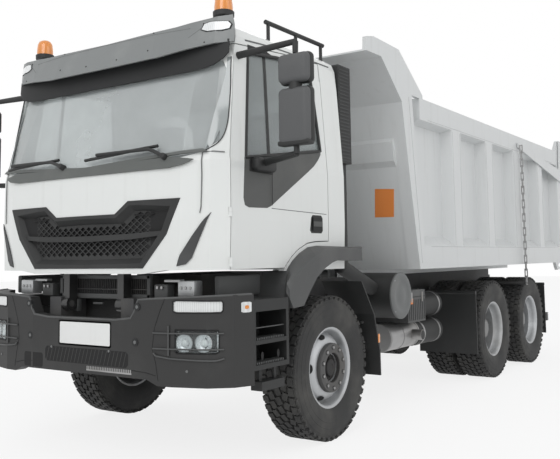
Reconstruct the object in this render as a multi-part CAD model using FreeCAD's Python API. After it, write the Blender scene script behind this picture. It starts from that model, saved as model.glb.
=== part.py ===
import FreeCAD
import Part
import math
import os

# Three-axle tipping truck, millimetres, standing on its wheels.
# The truck faces -Y, its left side is +X, the ground is z = 0.

# Overall layout
front_overhang = 1430.0
wheelbase = 3500.0
bogie_spacing = 1380.0
body_rear_overhang = 1615.0
cut_overrun = 20.0
shut_gap = 8.0
seat_gap = 0.3
move_gap = 6.0

# Wheels and tyres
tyre_radius = 538.0
tyre_width = 312.0
bead_radius = 286.0
bead_width = 232.0
rim_flange_radius = 305.0
rim_flange_width = 12.0
rim_wall = 10.0
dual_spacing = 350.0
front_track_half = 1024.0
rear_track_half = 909.0
hub_bore_radius = 45.0
bearing_gap = 0.05
hand_hole_radius = 30.0
hand_hole_circle = 205.0
hand_hole_count = 10
front_disc_depth = 70.0
front_hub_radius = 182.0
front_hub_width = 46.0
front_cap_radius = 95.0
front_cap_width = 62.0
rear_disc_gap = 6.0
rear_hub_radius = 150.0
rear_hub_end_radius = 105.0
rear_hub_width = 210.0
drum_radius = 215.0
drum_width = 200.0

# Steering
kingpin_spacing_half = 880.0
kingpin_radius = 28.0
kingpin_boss_radius = 62.0
kingpin_boss_height = 150.0
knuckle_ear_height = 30.0
knuckle_ear_gap = 1.0
spindle_flange_radius = 126.0
steering_arm_length = 190.0
steering_arm_thickness = 14.0
steering_arm_width = 56.0
tie_rod_radius = 21.0
tie_rod_drop = 14.0
tie_pin_radius = 14.0

# Front axle beam
axle_beam_height = 110.0
axle_beam_width = 100.0
axle_beam_drop = 90.0
axle_drop_half = 640.0
axle_seat_half = 540.0

# Rear axles
casing_radius = 75.0
casing_reach = 560.0
diff_radius = 225.0
diff_half_width = 150.0
diff_nose_reach = 290.0
diff_nose_radius = 70.0

# Chassis rails
rail_half_spacing = 425.0
rail_height = 270.0
rail_flange = 85.0
rail_wall = 12.0
rail_bottom = 780.0
rail_front_offset = 1150.0
rail_tail = 80.0
crossmember_height = 180.0
crossmember_length = 90.0
crossmember_shares = (0.04, 0.382, 0.712, 0.83)
subframe_height = 118.0
subframe_width = 80.0
subframe_front_offset = 620.0

# Springs
spring_width = 90.0
front_spring_half = 470.0
rear_spring_half = 495.0
spring_leaf_height = 22.0
spring_leaf_count = 3
front_spring_length = 1700.0
rear_spring_length = 1500.0
spring_arch = 70.0
shackle_length = 60.0

# Tipper body
body_half_width = 1245.0
body_front_offset = 1305.0
rear_axle_offset = wheelbase + bogie_spacing
body_end_offset = rear_axle_offset + body_rear_overhang
body_length = body_end_offset - body_front_offset
lower_rail_bottom = 1245.0
lower_rail_height = 215.0
side_slope_height = 90.0
side_sheet_inset = 112.0
side_sheet_wall = 12.0
body_floor_wall = 14.0
top_rail_bottom = 2645.0
top_rail_height = 205.0
rib_width = 240.0
rib_top_width = 150.0
rib_first = 1044.0
rib_last = 146.0
rib_count = 5
rib_pitch = (body_length - rib_first - rib_last) / (rib_count - 1)
headboard_wall = 16.0
bed_beam_height = 90.0
bed_beam_width = 80.0
canopy_wall = 14.0
ear_wall = 40.0

# Tip hinge
tip_hinge_setback = 845.0
tip_hinge_offset = body_end_offset - tip_hinge_setback
tip_hinge_height = 1175.0
tip_pin_radius = 35.0
tip_lug_radius = 75.0
tip_lug_width = 48.0
tip_lug_half = 265.0
subframe_end_gap = 14.0
rail_rear_offset = tip_hinge_offset + rail_tail

# Tailgate
gate_pivot_setback = 11.0
gate_pivot_offset = body_end_offset + gate_pivot_setback
gate_pivot_height = 2950.0
gate_pivot_radius = 24.0
gate_thickness = 70.0
gate_rib_depth = 46.0
gate_rib_reach = 64.7
arm_thickness = 14.0
arm_height = 110.0
arm_inner = 1252.0

# Hanging chain of the tailgate
chain_hook_setback = 1965.0
chain_hook_offset = body_end_offset - chain_hook_setback
chain_hook_height = 1012.0
chain_link_length = 110.0
chain_link_width = 40.0
chain_wire = 12.0
chain_link_count = 20
chain_plane = 1292.0
chain_pin_radius = 6.0
chain_tube_radius = 20.0

# Hoist
hoist_foot_setback = 60.0
hoist_foot_offset = wheelbase + hoist_foot_setback
hoist_foot_height = 905.0
hoist_eye_setback = 595.0
hoist_eye_offset = body_front_offset + hoist_eye_setback
hoist_eye_height = 1170.0
hoist_radius = 78.0
hoist_bore_radius = 56.0
hoist_rod_radius = 50.0
hoist_eye_radius = 54.0
hoist_eye_width = 80.0
hoist_lug_width = 24.0
hoist_pin_radius = 24.0

# Cab
cab_half_width = 1140.0
cab_length = 1683.0
cab_front_offset = -1400.0
cab_rear_offset = cab_front_offset + cab_length
cab_bottom = 1275.0
cab_height = 1715.0
sill_rise = 22.0
sill_shares = (0.49, 0.64)
cab_wall = 55.0
cab_floor_height = 1300.0
cab_floor_wall = 40.0
door_hinge_offset = -1190.0
cab_tilt_offset = -1290.0
cab_tilt_height = 1060.0
tilt_lug_half = 275.0
tilt_lug_width = 60.0
tilt_pin_radius = 25.0
tilt_boss_radius = 48.0
glass_thickness = 6.0
glass_inset = 14.0

# Front end
bumper_half_width = 1250.0
bumper_bottom = 602.0
bumper_top = 1143.0
bumper_depth = 330.0
bumper_wall = 90.0
fender_outer = 1240.0
fender_inner = 925.0

# Chassis side units
tank_radius = 123.0
drum_filter_radius = 200.0

# Mirrors
mirror_outer = 1700.0
mirror_inner = 1460.0
mirror_front_offset = -1130.0
mirror_depth = 105.0

overall_length = front_overhang + body_end_offset + seat_gap + gate_thickness + gate_rib_reach
front_axle_y = front_overhang - overall_length / 2
mid_axle_y = front_axle_y + wheelbase
rear_axle_y = mid_axle_y + bogie_spacing
wheel_z = tyre_radius
front_y = -overall_length / 2
rear_y = overall_length / 2
Vec = FreeCAD.Vector
X_AXIS = Vec(1, 0, 0)
Y_AXIS = Vec(0, 1, 0)
Z_AXIS = Vec(0, 0, 1)


def at(offset):
    return front_axle_y + offset


def box(x0, x1, y0, y1, z0, z1):
    return Part.makeBox(x1 - x0, y1 - y0, z1 - z0, Vec(x0, y0, z0))


def polygon(points):
    return Part.Face(Part.makePolygon(points + [points[0]]))


def side_prism(outline, x0, x1):
    face = polygon([Vec(x0, y, z) for y, z in outline])
    return face.extrude(Vec(x1 - x0, 0, 0))


def front_prism(outline, y0, y1):
    face = polygon([Vec(x, y0, z) for x, z in outline])
    return face.extrude(Vec(0, y1 - y0, 0))


def plan_prism(outline, z0, z1):
    face = polygon([Vec(x, y, z0) for x, y in outline])
    return face.extrude(Vec(0, 0, z1 - z0))


def rod_x(x0, x1, y, z, radius):
    return Part.makeCylinder(radius, x1 - x0, Vec(x0, y, z), X_AXIS)


def rod_y(y0, y1, x, z, radius):
    return Part.makeCylinder(radius, y1 - y0, Vec(x, y0, z), Y_AXIS)


def rod_z(z0, z1, x, y, radius):
    return Part.makeCylinder(radius, z1 - z0, Vec(x, y, z0), Z_AXIS)


def rod_between(start, end, radius):
    along = end - start
    return Part.makeCylinder(radius, along.Length, start, along)


def spin_x(outline, x, y, z):
    face = polygon([Vec(a, 0, r) for a, r in outline])
    solid = face.revolve(Vec(0, 0, 0), X_AXIS, 360)
    solid.translate(Vec(x, y, z))
    return solid


def spin_y(outline, x, y, z):
    face = polygon([Vec(0, a, r) for a, r in outline])
    solid = face.revolve(Vec(0, 0, 0), Y_AXIS, 360)
    solid.translate(Vec(x, y, z))
    return solid


def mirrored(shape):
    return shape.mirror(Vec(0, 0, 0), X_AXIS)


def both_sides(shapes):
    return shapes + [mirrored(shape) for shape in shapes]


def fused(shapes):
    result = shapes[0]
    if len(shapes) > 1:
        result = shapes[0].fuse(shapes[1:])
    return result.removeSplitter()


def share_points(shares, start_a, size_a, start_b, size_b):
    return [(start_a + a * size_a, start_b + b * size_b) for a, b in shares]


def symmetric(points):
    back = [(-x, other) for x, other in reversed(points) if abs(x) > 0]
    return points + back


def inset_outline(points, distance):
    # Each edge moves inward by the distance and neighbours meet again.
    area = 0
    count = len(points)
    for i in range(count):
        xa, ya = points[i]
        xb, yb = points[(i + 1) % count]
        area += xa * yb - xb * ya
    turn = 1 if area > 0 else -1
    moved = []
    for i in range(count):
        lines = []
        for j in (i - 1, i):
            xa, ya = points[j % count]
            xb, yb = points[(j + 1) % count]
            length = math.hypot(xb - xa, yb - ya)
            nx = -(yb - ya) / length * turn
            ny = (xb - xa) / length * turn
            lines.append((nx, ny, nx * (xa) + ny * (ya) + distance))
        (a, b, c), (d, e, f) = lines
        det = a * e - b * d
        if abs(det) < 1e-6:
            px, py = points[i]
            moved.append((px + a * distance, py + b * distance))
        else:
            moved.append(((c * e - b * f) / det, (a * f - c * d) / det))
    return moved


def save(node, shapes):
    solids = []
    for shape in shapes:
        solids.extend(shape.Solids)
    result = solids[0] if len(solids) == 1 else Part.makeCompound(solids)
    result.exportStep("parts/" + node + ".step")
    print(node, len(solids), result.isValid(), round(result.Volume / 1e9, 4))


# Wheels

tyre_profile_shares = (
    (-0.36, 0.0), (-0.47, 0.22), (-0.5, 0.5), (-0.47, 0.82), (-0.42, 0.97),
    (-0.2, 1.0), (0.2, 1.0), (0.42, 0.97), (0.47, 0.82), (0.5, 0.5), (0.47, 0.22), (0.36, 0.0),
)


def tyre(x, y):
    height = tyre_radius - bead_radius
    outline = share_points(tyre_profile_shares, 0, tyre_width, bead_radius, height)
    half = bead_width / 2
    lip = rim_flange_radius + seat_gap
    outline[0] = (-half, lip)
    outline[-1] = (half, lip)
    outline = [(-half, bead_radius)] + outline + [(half, bead_radius)]
    return spin_x(outline, x, y, wheel_z)


def rim_barrel(x, y):
    half = bead_width / 2
    lip = half + rim_flange_width
    inner = bead_radius - rim_wall
    outline = [
        (-half, bead_radius), (-half, rim_flange_radius), (-lip, rim_flange_radius), (-lip, inner),
        (lip, inner), (lip, rim_flange_radius), (half, rim_flange_radius), (half, bead_radius),
    ]
    return spin_x(outline, x, y, wheel_z)


def hand_holes(x0, x1, y):
    holes = []
    for i in range(hand_hole_count):
        angle = 2 * math.pi * i / hand_hole_count
        hole_y = y + hand_hole_circle * math.cos(angle)
        hole_z = wheel_z + hand_hole_circle * math.sin(angle)
        holes.append(rod_x(x0, x1, hole_y, hole_z, hand_hole_radius))
    return holes


disc_profile_shares = ((0.0, 1.0), (0.45, 0.93), (0.9, 0.78), (1.0, 0.62), (1.0, 0.0))


def front_rim(y):
    # The disc bulges outward and carries the hub ring.
    x = front_track_half
    inner = bead_radius - rim_wall
    outer_face = [(a * front_disc_depth, r * inner) for a, r in disc_profile_shares]
    inner_face = [(a - rim_wall * 2, r) for a, r in reversed(outer_face)]
    start = bead_width / 2 - front_disc_depth
    face = [(start + a, r) for a, r in outer_face + inner_face]
    disc = spin_x(face, x, y, wheel_z)
    hub_face = x + start + front_disc_depth
    disc = disc.cut(hand_holes(x, hub_face + cut_overrun, y))
    hub = rod_x(hub_face - rim_wall, hub_face + front_hub_width, y, wheel_z, front_hub_radius)
    cap = rod_x(hub_face, hub_face + front_cap_width, y, wheel_z, front_cap_radius)
    drum = rod_x(x - drum_width / 2, hub_face - rim_wall, y, wheel_z, drum_radius - rim_flange_width)
    bore = rod_x(x - drum_width, hub_face, y, wheel_z, hub_bore_radius + bearing_gap)
    wheel = fused([rim_barrel(x, y), disc, hub, cap, drum])
    recess = rod_x(x - drum_width, x - rim_wall, y, wheel_z, spindle_flange_radius + move_gap)
    return wheel.cut([bore, recess])


def rear_rim(y):
    # Two rims bolt face to face, so the outer one looks deeply dished.
    inner_x = rear_track_half - dual_spacing / 2
    outer_x = rear_track_half + dual_spacing / 2
    bore_radius = bead_radius - rim_wall
    disc = rod_x(rear_track_half - rim_wall * 2, rear_track_half + rim_wall * 2, y, wheel_z, bore_radius)
    cone_half = dual_spacing / 2 - bead_width / 2 - rim_flange_width
    sleeve = rod_x(rear_track_half - cone_half, rear_track_half + cone_half, y, wheel_z, bore_radius + rim_wall / 2)
    disc = disc.fuse(sleeve)
    disc = disc.cut(hand_holes(rear_track_half - dual_spacing, rear_track_half + dual_spacing, y))
    hub_end = rear_track_half + rear_hub_width
    hub = rod_x(rear_track_half, hub_end - rim_wall * 4, y, wheel_z, rear_hub_radius)
    end = rod_x(rear_track_half, hub_end, y, wheel_z, rear_hub_end_radius)
    drum = rod_x(rear_track_half - drum_width, rear_track_half, y, wheel_z, drum_radius - rim_flange_width)
    wheel = fused([rim_barrel(inner_x, y), rim_barrel(outer_x, y), disc, hub, end, drum])
    bore = rod_x(inner_x - dual_spacing, rear_track_half + rear_hub_width / 2, y, wheel_z, hub_bore_radius + bearing_gap)
    return wheel.cut(bore)


def make_wheels():
    spots = (("front", front_axle_y), ("mid", mid_axle_y), ("rear", rear_axle_y))
    for name, y in spots:
        if name == "front":
            rim = front_rim(y)
            tyres = [tyre(front_track_half, y)]
        else:
            rim = rear_rim(y)
            inner_x = rear_track_half - dual_spacing / 2
            tyres = [tyre(inner_x, y), tyre(inner_x + dual_spacing, y)]
        save("rim_" + name + "_left", [rim])
        save("rim_" + name + "_right", [mirrored(rim)])
        save("tyre_" + name + "_left", tyres)
        save("tyre_" + name + "_right", [mirrored(one) for one in tyres])


# Steering and axles

def knuckle():
    # The fork holds the kingpin and the spindle carries the wheel.
    x = kingpin_spacing_half
    y = front_axle_y
    half = kingpin_boss_height / 2
    low = wheel_z - half - knuckle_ear_gap
    high = wheel_z + half + knuckle_ear_gap
    top = high + knuckle_ear_height
    bottom = low - knuckle_ear_height
    pin = rod_z(bottom, top, x, y, kingpin_radius)
    ears = [
        rod_z(high, top, x, y, kingpin_boss_radius),
        rod_z(bottom, low, x, y, kingpin_boss_radius),
    ]
    web_x = x + kingpin_boss_radius + knuckle_ear_gap
    ears.append(box(x, web_x + rim_wall, y - kingpin_radius, y + kingpin_radius, high, top))
    ears.append(box(x, web_x + rim_wall, y - kingpin_radius, y + kingpin_radius, bottom, low))
    web = box(web_x, web_x + rim_wall * 2, y - kingpin_boss_radius, y + kingpin_boss_radius, bottom, top)
    hub_face = front_track_half + bead_width / 2
    spindle = rod_x(web_x, hub_face - rim_wall, y, wheel_z, hub_bore_radius)
    arm_y = y + steering_arm_length
    arm_x = x
    half_width = steering_arm_width / 2
    arm_top = bottom + steering_arm_thickness
    outline = [
        (x - half_width, y), (x + half_width, y),
        (arm_x + half_width, arm_y), (arm_x - half_width, arm_y),
    ]
    arm = plan_prism(outline, bottom, arm_top)
    eye = rod_z(bottom, arm_top, arm_x, arm_y, half_width)
    pin_hole = tie_pin_radius + bearing_gap
    body = fused([pin] + ears + [web, spindle, arm, eye])
    return body.cut(rod_z(bottom - cut_overrun, arm_top + cut_overrun, arm_x, arm_y, pin_hole))


def arm_bottom():
    return wheel_z - kingpin_boss_height / 2 - knuckle_ear_gap - knuckle_ear_height


def tie_rod():
    # The rod hangs under both arms on upright pins.
    x = kingpin_spacing_half
    y = front_axle_y + steering_arm_length
    top = arm_bottom() - knuckle_ear_gap
    z = top - tie_rod_radius
    tube = rod_x(-x, x, y, z, tie_rod_radius)
    parts = [tube]
    pin_top = arm_bottom() + steering_arm_thickness + tie_rod_drop
    for side in (-x, x):
        parts.append(rod_z(z - tie_rod_radius, top, side, y, tie_rod_radius + tie_rod_drop / 2))
        parts.append(rod_z(z, pin_top, side, y, tie_pin_radius))
    return fused(parts)


def front_axle():
    y = front_axle_y
    half = kingpin_boss_height / 2
    eye = rod_z(wheel_z - half, wheel_z + half, kingpin_spacing_half, y, kingpin_boss_radius)
    top = wheel_z + axle_beam_height / 2
    low = wheel_z - axle_beam_height / 2
    outline = [
        (0, top - axle_beam_drop), (axle_seat_half, top - axle_beam_drop), (axle_drop_half, top),
        (kingpin_spacing_half, top), (kingpin_spacing_half, low),
        (axle_drop_half, low), (axle_seat_half, low - axle_beam_drop), (0, low - axle_beam_drop),
    ]
    half_width = axle_beam_width / 2
    beam = front_prism(outline, y - half_width, y + half_width)
    left = beam.fuse(eye)
    hole = kingpin_radius + bearing_gap
    left = left.cut(rod_z(0, wheel_z * 2, kingpin_spacing_half, y, hole))
    return fused([left, mirrored(left)])


def rear_axle(y):
    casing = rod_x(-casing_reach, casing_reach, y, wheel_z, casing_radius)
    spindle_end = rear_track_half + rear_hub_width / 2 - rim_wall
    spindle = rod_x(-spindle_end, spindle_end, y, wheel_z, hub_bore_radius)
    bulge_shares = ((-1.0, 0.45), (-0.55, 0.92), (0.0, 1.0), (0.55, 0.92), (1.0, 0.45))
    outline = [(a * diff_half_width, r * diff_radius) for a, r in bulge_shares]
    outline = [(-diff_half_width, 0)] + outline + [(diff_half_width, 0)]
    bulge = spin_x(outline, 0, y, wheel_z)
    nose = rod_y(y - diff_nose_reach, y + diff_nose_reach, 0, wheel_z, diff_nose_radius)
    return fused([casing, spindle, bulge, nose])


def leaf_pack(half, y, length, seat_z, eye_z):
    # Stacked leaves, longest on top, with eyes held by hangers on the rail.
    solids = []
    total = spring_leaf_height * spring_leaf_count
    x0 = half - spring_width / 2
    x1 = half + spring_width / 2
    outline = []
    reach = length / 2
    outline.append((y - reach, eye_z + spring_leaf_height))
    outline.append((y, seat_z + total))
    outline.append((y + reach, eye_z + spring_leaf_height))
    outline.append((y + reach, eye_z))
    step_shares = (0.8, 0.55)
    z_low = eye_z
    for share in step_shares:
        level = seat_z + (eye_z - seat_z) * share
        outline.append((y + reach * share, level))
        outline.append((y + reach * share, level - spring_leaf_height))
    outline.append((y + axle_beam_width, seat_z))
    outline.append((y - axle_beam_width, seat_z))
    for share in reversed(step_shares):
        level = seat_z + (eye_z - seat_z) * share
        outline.append((y - reach * share, level - spring_leaf_height))
        outline.append((y - reach * share, level))
    outline.append((y - reach, eye_z))
    solids.append(side_prism(outline, x0, x1))
    return solids


def spring_hanger(half, y, eye_z):
    x0 = half - spring_width / 2
    x1 = half + spring_width / 2
    reach = shackle_length / 2
    outline = [
        (y - reach, eye_z - reach), (y + reach, eye_z - reach),
        (y + shackle_length, rail_bottom), (y - shackle_length, rail_bottom),
    ]
    return side_prism(outline, x0, x1)


def make_axles():
    save("front_axle", [front_axle()])
    save("rear_axles", [rear_axle(mid_axle_y), rear_axle(rear_axle_y)])
    left = knuckle()
    save("knuckle_left", [left])
    save("knuckle_right", [mirrored(left)])
    save("tie_rod", [tie_rod()])
    springs = []
    seat = wheel_z + axle_beam_height / 2 - axle_beam_drop
    eye_z = rail_bottom - shackle_length - spring_arch
    front = leaf_pack(front_spring_half, front_axle_y, front_spring_length, seat, eye_z)
    reach = front_spring_length / 2 - shackle_length / 2
    for end in (-reach, reach):
        front.append(spring_hanger(front_spring_half, front_axle_y + end, eye_z))
    springs.append(fused(front))
    bogie_y = (mid_axle_y + rear_axle_y) / 2
    seat = wheel_z + casing_radius
    for y in (mid_axle_y, rear_axle_y):
        total = spring_leaf_height * spring_leaf_count
        x0 = rear_spring_half - spring_width / 2
        x1 = rear_spring_half + spring_width / 2
        pad = axle_beam_width / 2
        saddle = box(x0, x1, y - pad, y + pad, wheel_z, seat + spring_leaf_height)
        springs.append(saddle.cut(rod_x(0, casing_reach, y, wheel_z, casing_radius)))
    beam = [
        (mid_axle_y - axle_beam_width, seat + spring_leaf_height),
        (rear_axle_y + axle_beam_width, seat + spring_leaf_height),
        (rear_axle_y + axle_beam_width, seat + spring_leaf_height * 3),
        (bogie_y + shackle_length, rail_bottom),
        (bogie_y - shackle_length, rail_bottom),
        (mid_axle_y - axle_beam_width, seat + spring_leaf_height * 3),
    ]
    rear = side_prism(beam, rear_spring_half - spring_width / 2, rear_spring_half + spring_width / 2)
    rear_pack = fused([rear] + springs[1:])
    springs = both_sides([springs[0], rear_pack])
    save("leaf_springs", springs)


# Chassis

def chassis_frame():
    y0 = at(-rail_front_offset)
    y1 = at(rail_rear_offset)
    top = rail_bottom + rail_height
    outer = rail_half_spacing
    inner = outer - rail_flange
    rail = box(inner, outer, y0, y1, rail_bottom, top)
    hollow = box(inner - cut_overrun, outer - rail_wall, y0 - cut_overrun, y1 + cut_overrun,
                 rail_bottom + rail_wall, top - rail_wall)
    rail = rail.cut(hollow)
    parts = [rail, mirrored(rail)]
    mid = rail_bottom + rail_height / 2
    reach = outer - rail_wall
    half = crossmember_length / 2
    places = [y0 + share * (y1 - y0) for share in crossmember_shares]
    places.append(y1 - half)
    for y in places:
        tall = crossmember_height / 2
        cross = box(-reach, reach, y - half, y + half, mid - tall, mid + tall)
        pocket = box(-reach + rail_wall, reach - rail_wall, y - half + rail_wall, y + half + rail_wall,
                     mid - tall + rail_wall, mid + tall - rail_wall)
        parts.append(cross.cut(pocket))
    return fused(parts)


def subframe():
    # Auxiliary rails carry the body and end just ahead of the tip hinge.
    y0 = at(subframe_front_offset)
    hinge_y = at(tip_hinge_offset)
    y1 = hinge_y - subframe_end_gap
    top = rail_bottom + rail_height
    x1 = rail_half_spacing
    x0 = x1 - subframe_width
    rail = box(x0, x1, y0, y1, top, top + subframe_height)
    tie = box(0, x1, hinge_y - tip_lug_radius, hinge_y + tip_lug_radius / 2, top, top + rail_wall * 3)
    parts = [rail, tie]
    half = tip_lug_width / 2
    for side in (-half - tip_lug_width - knuckle_ear_gap, half + knuckle_ear_gap):
        start = tip_lug_half + side
        parts.append(rod_x(start, start + tip_lug_width, hinge_y, tip_hinge_height, tip_lug_radius))
        foot = box(start, start + tip_lug_width, hinge_y - tip_lug_radius, hinge_y + tip_lug_radius,
                   top, tip_hinge_height)
        parts.append(foot)
    left = fused(parts)
    pin_x0 = tip_lug_half - half - tip_lug_width - knuckle_ear_gap
    pin_x1 = tip_lug_half + half + tip_lug_width + knuckle_ear_gap
    left = left.fuse(rod_x(pin_x0, pin_x1, hinge_y, tip_hinge_height, tip_pin_radius))
    return fused([left, mirrored(left)])


engine_front_offset = -540.0
engine_length = 1150.0
radiator_front_offset = -1090.0
radiator_length = 96.0
gearbox_length = 780.0
gearbox_radius = 165.0
shaft_radius = 45.0


def engine_low():
    return wheel_z + axle_beam_height / 2 + move_gap * 2


def drivetrain():
    top = cab_bottom - move_gap * 4
    engine_x = rail_half_spacing - rail_flange - seat_gap
    y0 = at(engine_front_offset)
    engine = box(-engine_x, engine_x, y0, y0 + engine_length, engine_low(), top)
    y1 = at(radiator_front_offset)
    radiator = box(-engine_x, engine_x, y1, y1 + radiator_length, bumper_bottom, top)
    return [engine, radiator]


def driveline():
    gearbox_start = at(engine_front_offset) + engine_length
    gearbox_end = gearbox_start + gearbox_length
    z = engine_low() + gearbox_radius
    gearbox = rod_y(gearbox_start, gearbox_end, 0, z, gearbox_radius)
    start = Vec(0, gearbox_end, z)
    end = Vec(0, mid_axle_y - diff_nose_reach - shaft_radius - seat_gap, wheel_z)
    shaft = fused([rod_between(start, end, shaft_radius), Part.makeSphere(shaft_radius, end)])
    reach = diff_nose_reach + seat_gap
    link = rod_y(mid_axle_y + reach, rear_axle_y - reach, 0, wheel_z, shaft_radius)
    return [fused([gearbox, shaft]), link]


# Cab

cab_level_shares = (
    (0.0, 0.99, 0.005, 0.125, 1.0),
    (0.2, 1.0, 0.0, 0.125, 1.0),
    (0.424, 1.0, 0.005, 0.125, 1.0),
    (0.836, 0.955, 0.149, 0.187, 1.0),
    (0.93, 0.94, 0.187, 0.22, 1.0),
    (0.965, 0.92, 0.2, 0.235, 0.995),
    (0.99, 0.86, 0.235, 0.27, 0.98),
    (1.0, 0.74, 0.3, 0.34, 0.93),
)
cab_corner_shares = ((0.0, 0.0), (0.45, 0.05), (0.75, 0.2), (0.92, 0.52), (1.0, 1.0))


def cab_section(level, inset):
    z_share, width_share, front_share, side_share, rear_share = level
    width = cab_half_width * width_share
    front = at(cab_front_offset) + cab_length * front_share
    depth = cab_length * (side_share - front_share)
    rear = at(cab_front_offset) + cab_length * rear_share
    half = [(x * width, front + y * depth) for x, y in cab_corner_shares]
    half.append((width, rear))
    outline = symmetric(half)
    if inset:
        outline = inset_outline(outline, inset)
    return outline


def cab_solid(inset):
    # A ruled skin through level outlines, drawn in by the inset.
    wires = []
    count = len(cab_level_shares)
    for i, level in enumerate(cab_level_shares):
        z = cab_bottom + cab_height * level[0]
        if i == 0:
            z -= cut_overrun if inset else 0
        if i >= count - 3:
            z -= inset
        points = [Vec(x, y, z) for x, y in cab_section(level, inset)]
        wires.append(Part.makePolygon(points + [points[0]]))
    return Part.makeLoft(wires, True, True)


door_shares = (
    (0.0, 0.0), (0.512, 0.0), (0.541, 0.0235), (0.586, 0.0525), (0.654, 0.083), (0.749, 0.1105),
    (0.848, 0.119), (1.0, 0.122), (1.0, 1.0), (0.6, 0.985), (0.1, 0.95), (0.0, 0.46),
)
window_shares = (
    (0.139, 0.465), (0.225, 0.925), (0.52, 0.952), (0.87, 0.965), (0.93, 0.555),
)
door_depth_share = 0.88
hinge_heights = (1345.0, 1665.0)
hinge_radius = 12.0
hinge_pin_radius = 6.0
hinge_length = 30.0
door_length = 1224.0
door_bottom = 1290.0
door_height = 1602.0


def door_outline():
    return share_points(door_shares, at(door_hinge_offset), door_length, door_bottom, door_height)


def window_outline():
    return share_points(window_shares, at(door_hinge_offset), door_length, door_bottom, door_height)


windscreen_shares = (
    (0.0, -0.02), (0.4, -0.02), (0.68, 0.0), (0.88, 0.07), (0.945, 0.17), (0.925, 0.9), (0.9, 0.985), (0.0, 1.0),
)
windscreen_bottom = 2010.0
windscreen_height = 690.0
grille_shares = (
    (0.0, -0.185), (0.35, -0.185), (0.49, 0.0), (1.0, 0.0), (0.872, -0.51), (0.64, -1.0), (0.0, -1.0),
)
grille_bar_shares = (
    (0.0, -0.59), (0.5, -0.57), (0.9, -0.51), (0.9, -0.45), (0.5, -0.485), (0.0, -0.5),
)
grille_half_width = 860.0
grille_top = 1762.0
grille_height = 452.0
grille_lip = 9.0
grille_frame = 66.0
grille_mesh_depth = 45.0
grille_mesh_wall = 8.0
grille_bar_depth = 14.0
grille_cell_width = 62.0
grille_cell_height = 44.0
grille_web = 11.0


def windscreen_outline():
    points = share_points(windscreen_shares, 0, cab_half_width, windscreen_bottom, windscreen_height)
    return symmetric(points)


def grille_outline():
    return symmetric(share_points(grille_shares, 0, grille_half_width, grille_top, grille_height))


def front_reach():
    return at(cab_front_offset) - cut_overrun, at(cab_front_offset) + cab_length / 4


def grille_reach():
    return at(cab_front_offset) - cut_overrun, at(cab_front_offset) + cab_wall * 2.5


def cab_outer():
    # The sill rises towards the front corners.
    level = cab_bottom + sill_rise
    inner, outer = (share * cab_half_width for share in sill_shares)
    edge = cab_half_width + cut_overrun
    low = cab_bottom - cut_overrun
    outline = [(inner, low), (inner, cab_bottom), (outer, level), (edge, level), (edge, low)]
    sill = front_prism(outline, at(cab_front_offset) - cut_overrun, at(door_hinge_offset))
    return cab_solid(0).cut([sill, mirrored(sill)])


def cab_shell(outer):
    inner = cab_solid(cab_wall)
    shell = outer.cut(inner)
    floor_y0 = at(cab_front_offset) + cab_wall
    floor = cab_solid(cab_wall - seat_gap * 2)
    slab = box(-cab_half_width, cab_half_width, floor_y0, at(cab_front_offset) + cab_length,
               cab_floor_height, cab_floor_height + cab_floor_wall)
    floor = floor.common(slab)
    shell = fused([shell, floor])
    opening = side_prism(door_outline(), cab_half_width * 0.8, cab_half_width + cut_overrun)
    below = box(cab_half_width * 0.8, cab_half_width + cut_overrun, at(door_hinge_offset),
                at(door_hinge_offset) + door_length * door_shares[1][0], cab_bottom - cut_overrun * 2, door_bottom)
    opening = fused([opening, below])
    keep = cab_solid(cab_wall)
    opening = opening.cut(keep)
    y0, y1 = front_reach()
    glass = front_prism(windscreen_outline(), y0, y1)
    y0, y1 = grille_reach()
    hole = front_prism(grille_outline(), y0, y1)
    shell = shell.cut([opening, mirrored(opening), glass, hole])
    rear_window = box(-cab_half_width * 0.8, cab_half_width * 0.8, at(cab_front_offset) + cab_length - cab_wall * 2,
                      at(cab_front_offset) + cab_length + cut_overrun,
                      windscreen_bottom + windscreen_height * 0.35, windscreen_bottom + windscreen_height)
    shell = shell.cut(rear_window)
    lugs = []
    hinge_y = at(cab_tilt_offset)
    for side in (-1, 1):
        x0 = side * tilt_lug_half - tilt_lug_width / 2
        x1 = side * tilt_lug_half + tilt_lug_width / 2
        lug = box(x0, x1, hinge_y - tilt_boss_radius / 2, hinge_y + tilt_boss_radius,
                  cab_tilt_height, cab_floor_height + cab_floor_wall / 2)
        lugs.append(lug)
        lugs.append(rod_x(x0, x1, hinge_y, cab_tilt_height, tilt_boss_radius))
    cuts = hinge_shell_cuts()
    shell = shell.cut(cuts + [mirrored(cut) for cut in cuts])
    shell = fused([shell] + lugs + both_sides(hinge_posts()))
    shell = shell.cut(both_sides(hinge_bores()))
    pin = rod_x(-cab_half_width, cab_half_width, hinge_y, cab_tilt_height, tilt_pin_radius + bearing_gap)
    return shell.cut(pin)


def hinge_rod(z0, z1, radius):
    return rod_z(z0, z1, cab_half_width, at(door_hinge_offset), radius)


def hinge_shell_cuts():
    # Room in the door post for the door's own knuckles.
    return [hinge_rod(z, z + hinge_length + knuckle_ear_gap, hinge_radius + knuckle_ear_gap) for z in hinge_heights]


def hinge_posts():
    return [hinge_rod(z - hinge_length, z, hinge_radius) for z in hinge_heights]


def hinge_bores():
    bore = hinge_pin_radius + bearing_gap
    return [hinge_rod(z - hinge_length - knuckle_ear_gap, z + knuckle_ear_gap, bore) for z in hinge_heights]


def door_hinges():
    # Upper knuckle, leaf and pin, which drops into the cab's knuckle.
    y = at(door_hinge_offset)
    parts = []
    for z in hinge_heights:
        low = z + knuckle_ear_gap
        high = z + hinge_length
        parts.append(hinge_rod(low, high, hinge_radius))
        parts.append(box(cab_half_width - hinge_radius, cab_half_width, y, y + shut_gap * 2, low, high))
        parts.append(hinge_rod(z - hinge_length, high, hinge_pin_radius))
    return parts


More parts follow.
